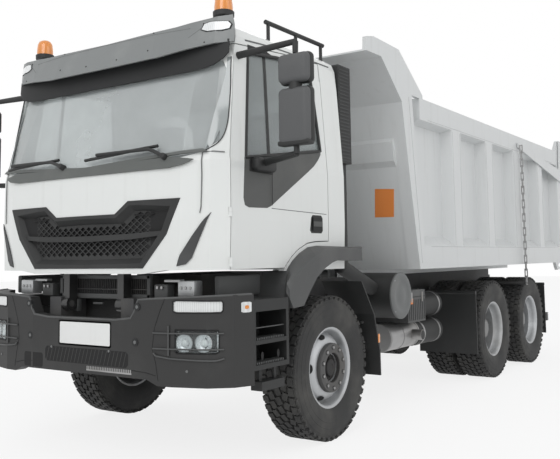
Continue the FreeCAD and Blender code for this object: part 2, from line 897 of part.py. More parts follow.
def door(outer):
    gap = shut_gap
    skin = outer.cut(cab_solid(cab_wall))
    outline = inset_outline(door_outline(), gap)
    prism = side_prism(outline, cab_half_width * door_depth_share, cab_half_width + cut_overrun)
    panel = skin.common(prism)
    window = side_prism(window_outline(), cab_half_width * door_depth_share, cab_half_width + cut_overrun)
    # The inner face stays clear of the floor, and the inner rear edge of the door post.
    inner = cab_half_width - cab_wall
    front = at(door_hinge_offset)
    rear = front + door_length
    belt = door_bottom + door_height * door_shares[-1][1]
    inner_low = box(0, inner + move_gap, front - cut_overrun, rear, door_bottom - cut_overrun, belt)
    inner_rear = box(0, inner, rear - gap * 2, rear + cut_overrun, door_bottom, door_bottom + door_height)
    room = [hinge_rod(z - hinge_length - knuckle_ear_gap, z + knuckle_ear_gap, hinge_radius + knuckle_ear_gap)
            for z in hinge_heights]
    panel = panel.cut([window, inner_low, inner_rear] + room)
    return fused([panel] + door_hinges())


def door_glass():
    skin = cab_solid(glass_inset).cut(cab_solid(glass_inset + glass_thickness))
    window = side_prism(window_outline(), cab_half_width * 0.8, cab_half_width + cut_overrun)
    return skin.common(window)


def windscreen():
    skin = cab_solid(glass_inset).cut(cab_solid(glass_inset + glass_thickness))
    y0, y1 = front_reach()
    glass = front_prism(windscreen_outline(), y0, y1)
    return skin.common(glass)


def rear_glass():
    skin = cab_solid(glass_inset).cut(cab_solid(glass_inset + glass_thickness))
    window = box(-cab_half_width * 0.8, cab_half_width * 0.8, at(cab_front_offset) + cab_length - cab_wall * 2,
                 at(cab_front_offset) + cab_length + cut_overrun,
                 windscreen_bottom + windscreen_height * 0.35, windscreen_bottom + windscreen_height)
    return skin.common(window)


def inside(points, x, z):
    # Counts the outline's edges on one side of the place.
    crossings = 0
    count = len(points)
    for i in range(count):
        xa, za = points[i]
        xb, zb = points[(i + 1) % count]
        if (za > z) != (zb > z) and x < xa + (xb - xa) * (z - za) / (zb - za):
            crossings += 1
    return crossings % 2 == 1


def grille_sheet(depth, wall, outline):
    # A bent sheet at a depth behind the front, which follows the cab's plan.
    level = cab_level_shares[1]
    low = grille_top - grille_height - cut_overrun
    high = grille_top + cut_overrun
    front = plan_prism(cab_section(level, depth), low, high)
    rear = plan_prism(cab_section(level, depth + wall), low, high)
    y0, y1 = grille_reach()
    return front.cut(rear).common(front_prism(outline, y0, y1))


def diamond_cells(outline):
    # Staggered rows of four-cornered openings inside the outline.
    y0, y1 = grille_reach()
    half_x = (grille_cell_width - grille_web) / 2
    half_z = (grille_cell_height - grille_web) / 2
    rows = int(grille_height / grille_cell_height * 2)
    columns = int(grille_half_width / grille_cell_width) + 1
    cells = []
    for row in range(rows):
        z = grille_top - grille_cell_height / 2 * row
        shift = grille_cell_width / 2 * (row % 2)
        for column in range(-columns, columns + 1):
            x = column * grille_cell_width + shift
            corners = [(x - half_x, z), (x, z - half_z), (x + half_x, z), (x, z + half_z)]
            if all(inside(outline, a, b) for a, b in corners):
                cells.append(front_prism(corners, y0, y1))
    return cells


def grille():
    # A deep bevelled frame holds the diamond mesh and a curved bar across it.
    outline = inset_outline(grille_outline(), seat_gap)
    y0, y1 = grille_reach()
    block = cab_solid(-rim_wall / 2).cut(cab_solid(grille_mesh_depth + grille_mesh_wall))
    block = block.common(front_prism(outline, y0, y1))
    mouth = inset_outline(outline, grille_lip)
    throat = inset_outline(outline, grille_frame * 2)
    wires = []
    for points, y in ((mouth, y0), (throat, y1)):
        corners = [Vec(x, y, z) for x, z in points]
        wires.append(Part.makePolygon(corners + [corners[0]]))
    frame = block.cut(Part.makeLoft(wires, True, True))
    mesh = grille_sheet(grille_mesh_depth, grille_mesh_wall, mouth)
    mesh = mesh.cut(diamond_cells(inset_outline(outline, grille_frame)))
    points = symmetric(share_points(grille_bar_shares, 0, grille_half_width, grille_top, grille_height))
    bar = grille_sheet(grille_bar_depth, grille_mesh_depth - grille_bar_depth + grille_mesh_wall / 2, points)
    bar = bar.common(front_prism(mouth, y0, y1))
    return [fused([frame, mesh, bar])]


visor_shares = (
    (0.0, 0.0), (0.5, 0.02), (1.0, 0.25), (1.0, 1.0), (0.6, 0.87), (0.0, 0.82),
)
visor_plan_shares = ((0.0, 0.0), (0.45, 0.03), (0.72, 0.2), (0.9, 0.5), (1.0, 1.0))
visor_half_width = 1112.0
visor_bottom = 2745.0
visor_height = 252.0
visor_front_offset = -1275.0
visor_rear_offset = -960.0
visor_wrap = 165.0
visor_lean = 95.0
visor_wall = 18.0
visor_leg = 42.0


def visor_block(inset):
    wires = []
    front = at(visor_front_offset)
    for z, y, wrap in ((visor_bottom, front, visor_wrap), (visor_bottom + visor_height, front + visor_lean, visor_lean)):
        half = [(across * visor_half_width, y + back * wrap) for across, back in visor_plan_shares]
        half.append((visor_half_width, at(visor_rear_offset)))
        outline = inset_outline(symmetric(half), inset)
        points = [Vec(a, b, z) for a, b in outline]
        wires.append(Part.makePolygon(points + [points[0]]))
    return Part.makeLoft(wires, True, True)


def visor():
    # A leaning shield with wrapped ends stands on legs in front of the roof edge.
    y0 = at(visor_front_offset) - cut_overrun
    y1 = at(visor_front_offset) + visor_wrap + visor_wall
    outline = symmetric(share_points(visor_shares, 0, visor_half_width, visor_bottom, visor_height))
    inner = visor_block(visor_wall)
    shield = visor_block(0).cut(inner).common(front_prism(outline, y0, y1))
    legs = []
    z = visor_bottom + visor_height / 2
    for side in (-1, 1):
        x = side * visor_half_width * visor_plan_shares[2][0]
        leg = box(x - visor_leg / 2, x + visor_leg / 2, y0, at(visor_rear_offset), z, z + visor_leg)
        legs.append(leg.common(inner))
    return shield, legs


def make_cab():
    outer = cab_outer()
    shell = cab_shell(outer)
    save("cab_shell", [shell])
    left = door(outer)
    save("door_left", [left])
    save("door_right", [mirrored(left)])
    glass = door_glass()
    save("door_glass_left", [glass])
    save("door_glass_right", [mirrored(glass)])
    save("windscreen", [windscreen(), rear_glass()])
    save("grille", grille())
    shield, legs = visor()
    legs = [leg.cut(outer) for leg in legs]
    save("visor", [fused([shield] + legs)])


# Front end and cab surroundings

bumper_plan_shares = ((0.0, 0.0), (0.4, 0.0), (0.66, 0.07), (0.85, 0.28), (0.955, 0.6), (1.0, 1.0))
bumper_top_shares = ((0.0, 0.69), (0.272, 0.69), (0.392, 0.72), (0.44, 0.935), (1.0, 1.0))
bumper_low_shares = ((1.0, -0.06), (0.57, -0.065), (0.5, 0.0), (0.0, 0.0))
lamp_shares = ((0.68, 0.585), (0.895, 0.58), (0.895, 0.335), (0.68, 0.33))
day_lamp_shares = ((0.665, 0.925), (0.69, 0.93), (0.91, 0.925), (0.91, 0.8), (0.69, 0.8), (0.67, 0.815))
head_lamp_inset = 36.0
lamp_depth = 55.0
lamp_face_inset = 6.0


def bumper_shell(outer_inset, inner_inset):
    half = [(x * bumper_half_width, front_y + y * bumper_depth) for x, y in bumper_plan_shares]
    back = front_y + bumper_depth
    half.append((bumper_half_width, back + bumper_depth))
    closed = symmetric(half)
    low = bumper_bottom - bumper_wall
    high = bumper_top + cut_overrun
    outer = plan_prism(inset_outline(closed, outer_inset), low, high)
    inner = plan_prism(inset_outline(closed, inner_inset), low - cut_overrun, high + cut_overrun)
    ring = outer.cut(inner)
    keep = box(-overall_length, overall_length, front_y - cut_overrun * 2, back, low, high)
    return ring.common(keep)


def bumper_prism(shares, inset):
    height = bumper_top - bumper_bottom
    points = share_points(shares, 0, bumper_half_width, bumper_bottom, height)
    if inset:
        points = inset_outline(points, inset)
    back = front_y + bumper_depth + cut_overrun
    return front_prism(points, front_y - cut_overrun, back)


def bumper():
    height = bumper_top - bumper_bottom
    shares = list(bumper_top_shares) + list(bumper_low_shares)
    points = share_points(shares, 0, bumper_half_width, bumper_bottom, height)
    face = symmetric_loop(points)
    back = front_y + bumper_depth + cut_overrun
    body = bumper_shell(0, bumper_wall).common(front_prism(face, front_y - cut_overrun, back))
    pocket = bumper_shell(-cut_overrun, lamp_depth)
    cuts = []
    for shares in (lamp_shares, day_lamp_shares):
        cuts.append(pocket.common(bumper_prism(shares, 0)))
    return body.cut(both_sides(cuts))


def symmetric_loop(points):
    left = [(-x, other) for x, other in reversed(points) if x > 0]
    return points + left


def front_lamps():
    lamps = []
    for shares, inset in ((lamp_shares, head_lamp_inset), (day_lamp_shares, lamp_face_inset)):
        slab = bumper_shell(inset, lamp_depth)
        lamps.append(slab.common(bumper_prism(shares, seat_gap)))
    return both_sides(lamps)


bumper_stay_width = 70.0


def bumper_stays():
    y1 = at(-rail_front_offset)
    y0 = front_y + bumper_wall
    x0 = rail_half_spacing - rail_flange
    return box(x0, rail_half_spacing, y0, y1, rail_bottom + rail_wall * 4, bumper_top - crossmember_height)


step_front_offset = -1096.0
step_rear_offset = -690.0
step_outer = 1240.0
step_inner = 985.0
step_top = 1100.0
step_bottom = 655.0
step_wall = 30.0
step_well_shares = ((0.42, 0.83), (0.07, 0.36))
low_step_top = 574.0
low_step_bottom = 517.0


def cab_steps():
    y0 = at(step_front_offset)
    y1 = at(step_rear_offset)
    body = box(step_inner, step_outer, y0, y1, step_bottom, step_top)
    height = step_top - step_bottom
    wells = []
    for low, high in step_well_shares:
        wells.append(box(step_inner + step_wall, step_outer + cut_overrun, y0 + step_wall, y1 - step_wall,
                         step_bottom + height * low, step_bottom + height * high))
    body = body.cut(wells)
    low_y0 = y0 + step_wall * 3
    low_y1 = y1 - step_wall * 2
    tread = box(step_outer - step_wall * 3, step_outer, low_y0, low_y1, low_step_bottom, low_step_top)
    straps = []
    for y in (low_y0 + step_wall, low_y1 - step_wall * 2):
        straps.append(box(step_outer - step_wall * 2, step_outer - step_wall * 1.5, y, y + step_wall,
                          low_step_top, step_bottom))
    stay = box(rail_half_spacing, step_inner, y0 + step_wall * 2, y0 + step_wall * 5,
               step_top - step_wall * 6, step_top - step_wall * 3)
    return fused([body, tread, stay] + straps)


fender_root_shares = (
    (0.1, 0.37), (0.13, 0.54), (0.163, 0.643), (0.214, 0.745), (0.292, 0.856), (0.398, 0.955), (0.51, 0.982), (1.0, 0.965),
)
fender_bulge_shares = (
    (0.02, 0.26), (0.027, 0.4), (0.073, 0.505), (0.15, 0.6), (0.243, 0.728), (0.364, 0.86), (0.492, 0.942), (1.0, 0.965),
)
fender_edge_shares = (
    (0.029, 0.16), (0.025, 0.3), (0.066, 0.445), (0.14, 0.565), (0.231, 0.69), (0.342, 0.81), (0.463, 0.9), (1.0, 0.96),
)
fender_arch_shares = (
    (1.0, 0.72), (0.64, 0.736), (0.567, 0.7), (0.47, 0.614), (0.358, 0.46), (0.287, 0.298), (0.234, 0.16),
    (0.191, 0.042), (0.068, 0.02),
)
fender_bulge_width = 25.0
fender_front_offset = -699.0
fender_length = 1078.0
fender_bottom = 1012.0
fender_height = 450.0


def fender():
    # The flare swells from the door's edge to a rolled lip round the wheel.
    root_x = cab_half_width + shut_gap
    levels = (
        (fender_inner, fender_root_shares), (root_x, fender_root_shares),
        (fender_outer - fender_bulge_width, fender_bulge_shares), (fender_outer, fender_edge_shares),
    )
    wires = []
    for x, top_shares in levels:
        shares = top_shares + fender_arch_shares
        outline = share_points(shares, at(fender_front_offset), fender_length, fender_bottom, fender_height)
        points = [Vec(x, y, z) for y, z in outline]
        wires.append(Part.makePolygon(points + [points[0]]))
    flare = Part.makeLoft(wires, True, True)
    return flare.cut(cab_solid(0)).Solids


guard_shares = ((0.0, 1.0), (0.69, 0.645), (0.985, 0.26), (1.0, 0.0))
guard_front_offset = 359.0
guard_length = 291.0
guard_bottom = 400.0
guard_height = 773.0
guard_wall = 16.0
guard_inner = 868.0
guard_outer = 1236.0
flap_inner = 580.0
flap_bottom = 320.0
flap_top = 985.0
flap_front_gap = 605.0
flap_rear_gap = 600.0
flap_front_offset = wheelbase - flap_front_gap
flap_rear_offset = rear_axle_offset + flap_rear_gap
stay_radius = 20.0


def mudguards():
    outline = share_points(guard_shares, at(guard_front_offset), guard_length, guard_bottom, guard_height)
    back = [(y + guard_wall, z) for y, z in reversed(outline)]
    guard = side_prism(outline + back, guard_inner, guard_outer)
    stay_y, stay_z = outline[1]
    stay = rod_x(rail_half_spacing, guard_inner + guard_wall * 2, stay_y + stay_radius + guard_wall / 2,
                 stay_z, stay_radius)
    parts = [fused([guard, stay])]
    for offset in (flap_front_offset, flap_rear_offset):
        y = at(offset)
        flap = box(flap_inner, guard_outer, y, y + guard_wall, flap_bottom, flap_top)
        bar = rod_x(rail_half_spacing, guard_outer, y + guard_wall / 2, flap_top - stay_radius, stay_radius)
        parts.append(fused([flap, bar]))
    return both_sides(parts)


# Side units of the chassis

fuel_front_offset = 1250.0
fuel_rear_offset = 2450.0
fuel_outer = 1160.0
fuel_inner = 450.0
fuel_bottom = 520.0
fuel_top = 1060.0
fuel_corner = 70.0


def fuel_tank():
    y0 = at(fuel_front_offset)
    y1 = at(fuel_rear_offset)
    tank = box(-fuel_outer, -fuel_inner, y0, y1, fuel_bottom, fuel_top)
    edges = [edge for edge in tank.Edges if abs(edge.BoundBox.YLength) > fuel_corner * 2]
    tank = tank.makeFillet(fuel_corner, edges)
    strap = []
    third = (y1 - y0) / 4
    for y in (y0 + third, y1 - third):
        strap.append(box(-fuel_inner - fuel_corner, -rail_half_spacing, y, y + bumper_stay_width,
                         rail_bottom, fuel_top - fuel_corner * 2))
    return fused([tank] + strap)


air_tank_front_offset = 1900.0
air_tank_rear_offset = 2530.0
air_tank_plane = 900.0
air_tank_heights = (875.0, 610.0)


def air_tanks():
    parts = []
    y0 = at(air_tank_front_offset)
    y1 = at(air_tank_rear_offset)
    for z in air_tank_heights:
        crown = tank_radius / 3
        outline = [(y0, 0), (y0, tank_radius - crown), (y0 + crown, tank_radius),
                   (y1 - crown, tank_radius), (y1, tank_radius - crown), (y1, 0)]
        parts.append(spin_y(outline, air_tank_plane, 0, z))
    stay_y = (y0 + y1) / 2
    stay = box(rail_half_spacing, air_tank_plane, stay_y, stay_y + stay_radius * 2,
               air_tank_heights[1] - stay_radius, air_tank_heights[0] + stay_radius)
    return [fused(parts + [stay])]


battery_front_offset = 1395.0
battery_rear_offset = 1774.0
battery_outer = 1150.0
battery_inner = 640.0
battery_bottom = 759.0
battery_top = 1051.0


def battery_box():
    y0 = at(battery_front_offset)
    y1 = at(battery_rear_offset)
    body = box(battery_inner, battery_outer, y0, y1, battery_bottom, battery_top)
    cradle = box(rail_half_spacing, battery_inner, y0 + stay_radius, y1 - stay_radius,
                 battery_bottom, battery_bottom + crossmember_height)
    return [fused([body, cradle])]


muffler_front_offset = 1225.0
muffler_rear_offset = 1840.0
muffler_plane = 930.0
muffler_height = 628.0
muffler_radius = 126.0
outlet_radius = 48.0
outlet_offset = 1705.0


def muffler():
    y0 = at(muffler_front_offset)
    y1 = at(muffler_rear_offset)
    body = rod_y(y0, y1, muffler_plane, muffler_height, muffler_radius)
    outlet = rod_x(muffler_plane, battery_outer, at(outlet_offset), muffler_height, outlet_radius)
    stay = box(rail_half_spacing - rail_wall, muffler_plane, y0 + stay_radius * 4, y0 + stay_radius * 6,
               muffler_height, muffler_height + stay_radius)
    post = box(rail_half_spacing - rail_flange, rail_half_spacing, y0 + stay_radius * 4, y0 + stay_radius * 6,
               muffler_height, rail_bottom)
    return [fused([body, outlet, stay, post])]


filter_offset = 1174.0
filter_height = 1020.0
filter_inner = 690.0
filter_outer = 1190.0
duct_inner = 900.0
duct_outer = 1095.0
duct_gap = 17.0
duct_depth = 200.0
duct_front_offset = cab_rear_offset + duct_gap
duct_rear_offset = duct_front_offset + duct_depth
duct_bottom = 2131.0
duct_top = 2936.0
pipe_radius = 62.0
pipe_setback = 48.0
pipe_offset = duct_rear_offset - pipe_setback
pipe_bend_height = 1290.0


def air_intake():
    y = at(filter_offset)
    drum = rod_x(filter_inner, filter_outer, y, filter_height, drum_filter_radius)
    y0 = at(duct_front_offset)
    y1 = at(duct_rear_offset)
    duct = box(duct_inner, duct_outer, y0, y1, duct_bottom, duct_top)
    mid_x = (duct_inner + duct_outer) / 2
    pipe_y = at(pipe_offset)
    pipe = rod_z(pipe_bend_height, duct_bottom, mid_x, pipe_y, pipe_radius)
    elbow = Part.makeSphere(pipe_radius, Vec(mid_x, pipe_y, pipe_bend_height))
    slope = rod_between(Vec(mid_x, pipe_y, pipe_bend_height), Vec(mid_x, y, filter_height), pipe_radius)
    pipe = fused([pipe, elbow, slope])
    stay = box(rail_half_spacing, filter_inner, y - stay_radius, y + stay_radius,
               filter_height - drum_filter_radius / 2, filter_height)
    return [fused([drum, duct, pipe, stay])]


bar_gap = 110.0
bar_offset = rail_rear_offset + bar_gap
bar_depth = 80.0
bar_half_width = 1150.0
bar_bottom = 450.0
bar_top = 560.0
rear_lamp_width = 300.0
rear_lamp_depth = 34.0


def rear_bar():
    y0 = at(bar_offset)
    bar = box(-bar_half_width, bar_half_width, y0, y0 + bar_depth, bar_bottom, bar_top)
    outline = [
        (at(rail_rear_offset) - crossmember_height, rail_bottom), (at(rail_rear_offset), rail_bottom),
        (y0 + bar_depth, bar_top), (y0, bar_bottom),
    ]
    stay = side_prism(outline, rail_half_spacing - rail_flange, rail_half_spacing)
    return [fused([bar, stay, mirrored(stay)])]


def rear_lamps():
    y0 = at(bar_offset) + bar_depth
    x0 = bar_half_width - rear_lamp_width
    lamp = box(x0, bar_half_width, y0, y0 + rear_lamp_depth, bar_bottom, bar_top)
    return both_sides([lamp])


# Roof fittings, mirrors and cab inside

beacon_half = 945.0
beacon_offset = -1001.0
beacon_radius = 76.0
beacon_bottom = 3030.0
beacon_top = 3190.0
beacon_stem_radius = 22.0


def beacons(outer):
    y = at(beacon_offset)
    stem = rod_z(beacon_bottom - beacon_radius * 3, beacon_bottom, beacon_half, y, beacon_stem_radius)
    stem = stem.cut(outer)
    stem = max(stem.Solids, key=lambda solid: solid.BoundBox.ZMax)
    dome = rod_z(beacon_bottom, beacon_top, beacon_half, y, beacon_radius)
    lamp = fused([stem, dome])
    return both_sides([lamp])


rail_tube_radius = 17.0
rail_tube_half = 985.0
roof_rail_front_offset = -560.0
roof_rail_rear_offset = 250.0
roof_rail_height = 3098.0


def roof_rails(outer):
    y0 = at(roof_rail_front_offset)
    y1 = at(roof_rail_rear_offset)
    low = roof_rail_height - beacon_radius * 3
    tube = rod_y(y0, y1, rail_tube_half, roof_rail_height, rail_tube_radius)
    legs = []
    inset = rail_tube_radius * 2
    for y in (y0 + inset, (y0 + y1) / 2, y1 - inset):
        leg = rod_z(low, roof_rail_height, rail_tube_half, y, rail_tube_radius * 0.8).cut(outer)
        legs.append(max(leg.Solids, key=lambda solid: solid.BoundBox.ZMax))
    rack = fused([tube] + legs)
    return both_sides([rack])


mirror_top_shares = (1.0, 0.66)
mirror_main_shares = (0.63, 0.0)
mirror_bottom = 2065.0
mirror_height = 590.0
mirror_arm_rise = 75.0
mirror_arm_radius = 17.0
mirror_corner = 34.0


def mirrors():
    # Two housings on a bent tube whose feet stand on the door.
    y0 = at(mirror_front_offset)
    y1 = y0 + mirror_depth
    parts = []
    for high, low in (mirror_top_shares, mirror_main_shares):
        case = box(mirror_inner, mirror_outer, y0, y1, mirror_bottom + mirror_height * low,
                   mirror_bottom + mirror_height * high)
        edges = [edge for edge in case.Edges if edge.BoundBox.YLength > mirror_depth / 2]
        parts.append(case.makeFillet(mirror_corner, edges))
    tube_x = (mirror_inner + mirror_outer) / 2
    tube_y = (y0 + y1) / 2
    top = mirror_bottom + mirror_height + mirror_arm_rise
    low = mirror_bottom - mirror_arm_radius * 3
    parts.append(rod_z(low, top, tube_x, tube_y, mirror_arm_radius))
    foot_y = at(door_hinge_offset) + door_length * 0.145
    root_x = cab_half_width * 0.9
    parts.append(rod_between(Vec(root_x, foot_y, top), Vec(tube_x, tube_y, top), mirror_arm_radius))
    parts.append(rod_between(Vec(root_x, foot_y, low), Vec(tube_x, tube_y, low), mirror_arm_radius))
    return fused(parts)


dash_shares = ((0.0, 0.0), (0.0, 0.75), (0.25, 1.0), (0.75, 0.93), (1.0, 0.6), (0.8, 0.0))
dash_front_offset = -1290.0
dash_length = 420.0
dash_bottom = 1560.0
dash_height = 440.0
seat_half_width = 240.0
seat_plane = 560.0
seat_front_offset = -620.0
seat_length = 520.0
seat_cushion_height = 1760.0
seat_cushion_depth = 120.0
seat_back_height = 760.0
wheel_ring_radius = 225.0
wheel_ring_tube = 16.0
wheel_ring_sides = 8
wheel_lean = 28.0
wheel_hub_offset = -700.0
wheel_hub_height = 2010.0


def dashboard():
    outline = share_points(dash_shares, at(dash_front_offset), dash_length, dash_bottom, dash_height)
    reach = cab_half_width - cab_wall
    body = side_prism(outline, -reach, reach)
    keep = cab_solid(cab_wall + move_gap)
    body = body.common(keep)
    pillar = box(-seat_half_width / 2, seat_half_width / 2, at(dash_front_offset) + dash_length / 4,
                 at(dash_front_offset) + dash_length * 0.7, cab_floor_height + cab_floor_wall, dash_bottom)
    return [fused([body, pillar])]


def seats():
    y0 = at(seat_front_offset)
    y1 = y0 + seat_length
    low = seat_cushion_height - seat_cushion_depth
    parts = []
    for x in (-seat_plane, seat_plane):
        base = box(x - seat_half_width * 0.7, x + seat_half_width * 0.7, y0 + seat_cushion_depth / 2,
                   y1 - seat_cushion_depth / 2, cab_floor_height + cab_floor_wall, low)
        cushion = box(x - seat_half_width, x + seat_half_width, y0, y1, low, seat_cushion_height)
        back_outline = [
            (y1 - seat_cushion_depth, low), (y1, low),
            (y1 + seat_cushion_depth, seat_cushion_height + seat_back_height),
            (y1, seat_cushion_height + seat_back_height),
        ]
        back = side_prism(back_outline, x - seat_half_width, x + seat_half_width)
        parts.append(fused([base, cushion, back]))
    return parts


def steering_wheel():
    section = []
    for i in range(wheel_ring_sides):
        turn = 2 * math.pi * i / wheel_ring_sides
        section.append(Vec(wheel_ring_radius + wheel_ring_tube * math.cos(turn), 0, wheel_ring_tube * math.sin(turn)))
    ring = polygon(section).revolve(Vec(0, 0, 0), Z_AXIS, 360)
    spoke = box(-wheel_ring_radius, wheel_ring_radius, -wheel_ring_tube, wheel_ring_tube,
                -wheel_ring_tube / 2, wheel_ring_tube / 2)
    column = Part.makeCylinder(wheel_ring_tube * 2, wheel_ring_radius * 2, Vec(0, 0, -wheel_ring_radius * 2), Z_AXIS)
    wheel = fused([ring, spoke, column])
    wheel.rotate(Vec(0, 0, 0), X_AXIS, -wheel_lean)
    wheel.translate(Vec(seat_plane, at(wheel_hub_offset), wheel_hub_height))
    return wheel


def make_surroundings():
    outer = cab_solid(0)
    save("bumper", [bumper()])
    save("lamps", front_lamps() + rear_lamps())
    save("cab_steps", both_sides([cab_steps()]))
    save("fenders", both_sides(fender()))
    save("mudguards", mudguards())
    save("fuel_tank", [fuel_tank()])
    save("air_tanks", air_tanks())
    save("battery_box", battery_box())
    save("muffler", muffler())
    save("air_intake", air_intake())
    save("rear_bar", rear_bar())
    save("beacons", beacons(outer))
    save("roof_rails", roof_rails(outer))
    arms = mirrors().cut(outer)
    arms = max(arms.Solids, key=lambda solid: solid.BoundBox.XMax)
    save("mirrors_left", [arms])
    save("mirrors_right", [mirrored(arms)])
    dash = dashboard()[0]
    wheel = steering_wheel().cut(dash)
    wheel = max(wheel.Solids, key=lambda solid: solid.BoundBox.ZMax)
    save("dashboard", [dash])
    save("steering_wheel", [wheel])
    save("seats", seats())


# Tipper body, tailgate, chains and hoist

post_shares = (
    (0.62, 0.0), (0.22, 0.585), (0.0, 0.94), (0.0, 1.0), (0.45, 1.0), (0.5, 0.872), (0.86, 0.134), (0.86, 0.0),
)
post_length = 480.0
post_front_offset = 1184.0
head_shares = ((0.638, 0.0), (0.227, 0.585), (0.0, 0.94))
band_shares = ((0.24, 0.58), (0.133, 0.615), (0.067, 0.723), (0.135, 0.75))
canopy_shares = ((0.588, 0.0), (0.409, 0.37), (0.24, 0.71), (0.0, 0.7))
ear_shares = (
    (0.588, 0.0), (0.409, 0.37), (0.24, 0.71), (0.0, 0.7), (0.008, 0.96),
    (0.12, 1.02), (0.556, 1.0), (1.0, 0.28), (1.0, 0.2), (0.78, 0.2),
)
canopy_front_offset = 526.0
canopy_length = 1118.0
canopy_bottom = 2753.0
canopy_rise = 469.0
hook_shares = ((0.0, 1.0), (0.2, 0.35), (0.35, 0.0), (0.9, 0.1), (0.9, 0.4), (0.55, 0.45), (0.6, 0.75), (1.0, 1.0))
hook_setback = 415.0
hook_front_offset = body_end_offset - hook_setback
hook_length = 260.0
hook_height = 105.0
bearer_length = 60.0
bearer_shares = (0.1, 0.25, 0.4, 0.55, 0.7, 0.8362, 0.95)
side_wall_top = top_rail_bottom + top_rail_height


def body_side():
    top = side_wall_top
    low = lower_rail_bottom
    inner = body_half_width - side_sheet_inset
    back = inner - side_sheet_wall
    slope = low + lower_rail_height
    outline = [
        (body_half_width, low), (body_half_width, slope), (inner, slope + side_slope_height),
        (inner, top_rail_bottom - side_slope_height / 3), (body_half_width, top_rail_bottom),
        (body_half_width, top), (back, top), (back, low),
    ]
    y0 = at(post_front_offset) + post_length * 0.8
    y1 = at(body_front_offset) + body_length
    parts = [front_prism(outline, y0, y1)]
    for i in range(rib_count):
        y = at(body_front_offset) + rib_first + rib_pitch * i
        end = min(y + rib_width, y1)
        slant = (rib_width - rib_top_width) / 2
        tail = y1 if y + rib_width >= y1 else end + slant
        plan = [(inner, y - slant), (body_half_width, y), (body_half_width, end), (inner, tail)]
        parts.append(plan_prism(plan, slope, top_rail_bottom))
    post = share_points(post_shares, at(post_front_offset), post_length, low, top - low)
    parts.append(side_prism(post, back, body_half_width))
    ear = share_points(ear_shares, at(canopy_front_offset), canopy_length, canopy_bottom, canopy_rise)
    parts.append(side_prism(ear, body_half_width - ear_wall, body_half_width))
    hook = share_points(hook_shares, at(hook_front_offset), hook_length, low - hook_height, hook_height)
    parts.append(side_prism(hook, body_half_width - ear_wall, body_half_width))
    pivot_y = at(gate_pivot_offset)
    boss = gate_pivot_radius * 2.6
    lug_top = [
        (y1 - rib_width, top - cut_overrun), (pivot_y - boss, gate_pivot_height + boss),
        (pivot_y + boss, gate_pivot_height + boss), (pivot_y + boss, gate_pivot_height - boss),
        (y1, top), (y1, top - cut_overrun),
    ]
    parts.append(side_prism(lug_top, body_half_width - ear_wall, body_half_width))
    side = fused(parts)
    pin_hole = gate_pivot_radius + bearing_gap
    return side.cut(rod_x(back, body_half_width + cut_overrun, pivot_y, gate_pivot_height, pin_hole))


def strip(points, thickness):
    # A band of even thickness behind an open outline.
    upper = []
    count = len(points)
    for i in range(count):
        normals = []
        for j in (i - 1, i):
            if 0 <= j < count - 1:
                dy = points[j + 1][0] - points[j][0]
                dz = points[j + 1][1] - points[j][1]
                length = math.hypot(dy, dz)
                normals.append((dz / length, -dy / length))
        ny = sum(n[0] for n in normals) / len(normals)
        nz = sum(n[1] for n in normals) / len(normals)
        scale = thickness / (ny * ny + nz * nz)
        upper.append((points[i][0] + ny * scale, points[i][1] + nz * scale))
    return points + list(reversed(upper))


def tipper_body():
    side = body_side()
    inner = body_half_width - side_sheet_inset - side_sheet_wall
    low = lower_rail_bottom
    top = side_wall_top
    floor_low = low + bed_cross_height()
    y1 = at(body_front_offset) + body_length
    head = share_points(head_shares, at(post_front_offset), post_length, low, top - low)
    y0 = head[0][0]
    floor = box(-inner, inner, y0, y1, floor_low, floor_low + body_floor_wall)
    board = side_prism(strip(head, headboard_wall), -inner, inner)
    band = share_points(band_shares, at(post_front_offset), post_length, low, top - low)
    rail = side_prism(band, -inner, inner)
    roof = share_points(canopy_shares, at(canopy_front_offset), canopy_length, canopy_bottom, canopy_rise)
    reach = body_half_width - ear_wall
    canopy = side_prism(strip(roof, canopy_wall), -reach, reach)
    parts = [side, mirrored(side), floor, board, rail, canopy]
    beam_low = rail_bottom + rail_height + subframe_height + seat_gap
    x1 = rail_half_spacing
    beam = box(x1 - bed_beam_width, x1, y0 + cut_overrun, y1, beam_low, floor_low)
    parts.extend(both_sides([beam]))
    for share in bearer_shares:
        y = at(body_front_offset) + body_length * share
        parts.append(box(-inner, inner, y - bearer_length / 2, y + bearer_length / 2,
                         floor_low - bearer_length, floor_low))
    hinge_y = at(tip_hinge_offset)
    half = tip_lug_width / 2
    for x in (-tip_lug_half, tip_lug_half):
        lug = rod_x(x - half, x + half, hinge_y, tip_hinge_height, tip_lug_radius)
        neck = box(x - half, x + half, hinge_y - tip_lug_radius, hinge_y + tip_lug_radius,
                   tip_hinge_height, floor_low)
        lug = lug.fuse(neck)
        hole = rod_x(x - half * 2, x + half * 2, hinge_y, tip_hinge_height, tip_pin_radius + bearing_gap)
        parts.append(lug.cut(hole))
    eye_y = at(hoist_eye_offset)
    gap = hoist_eye_width / 2 + knuckle_ear_gap
    for x in (-gap - hoist_lug_width, gap):
        ear = rod_x(x, x + hoist_lug_width, eye_y, hoist_eye_height, hoist_eye_radius)
        plate = box(x, x + hoist_lug_width, eye_y - hoist_eye_radius, eye_y + hoist_eye_radius,
                    hoist_eye_height, floor_low)
        parts.append(ear.fuse(plate))
    return fused(parts)


def bed_cross_height():
    return side_slope_height


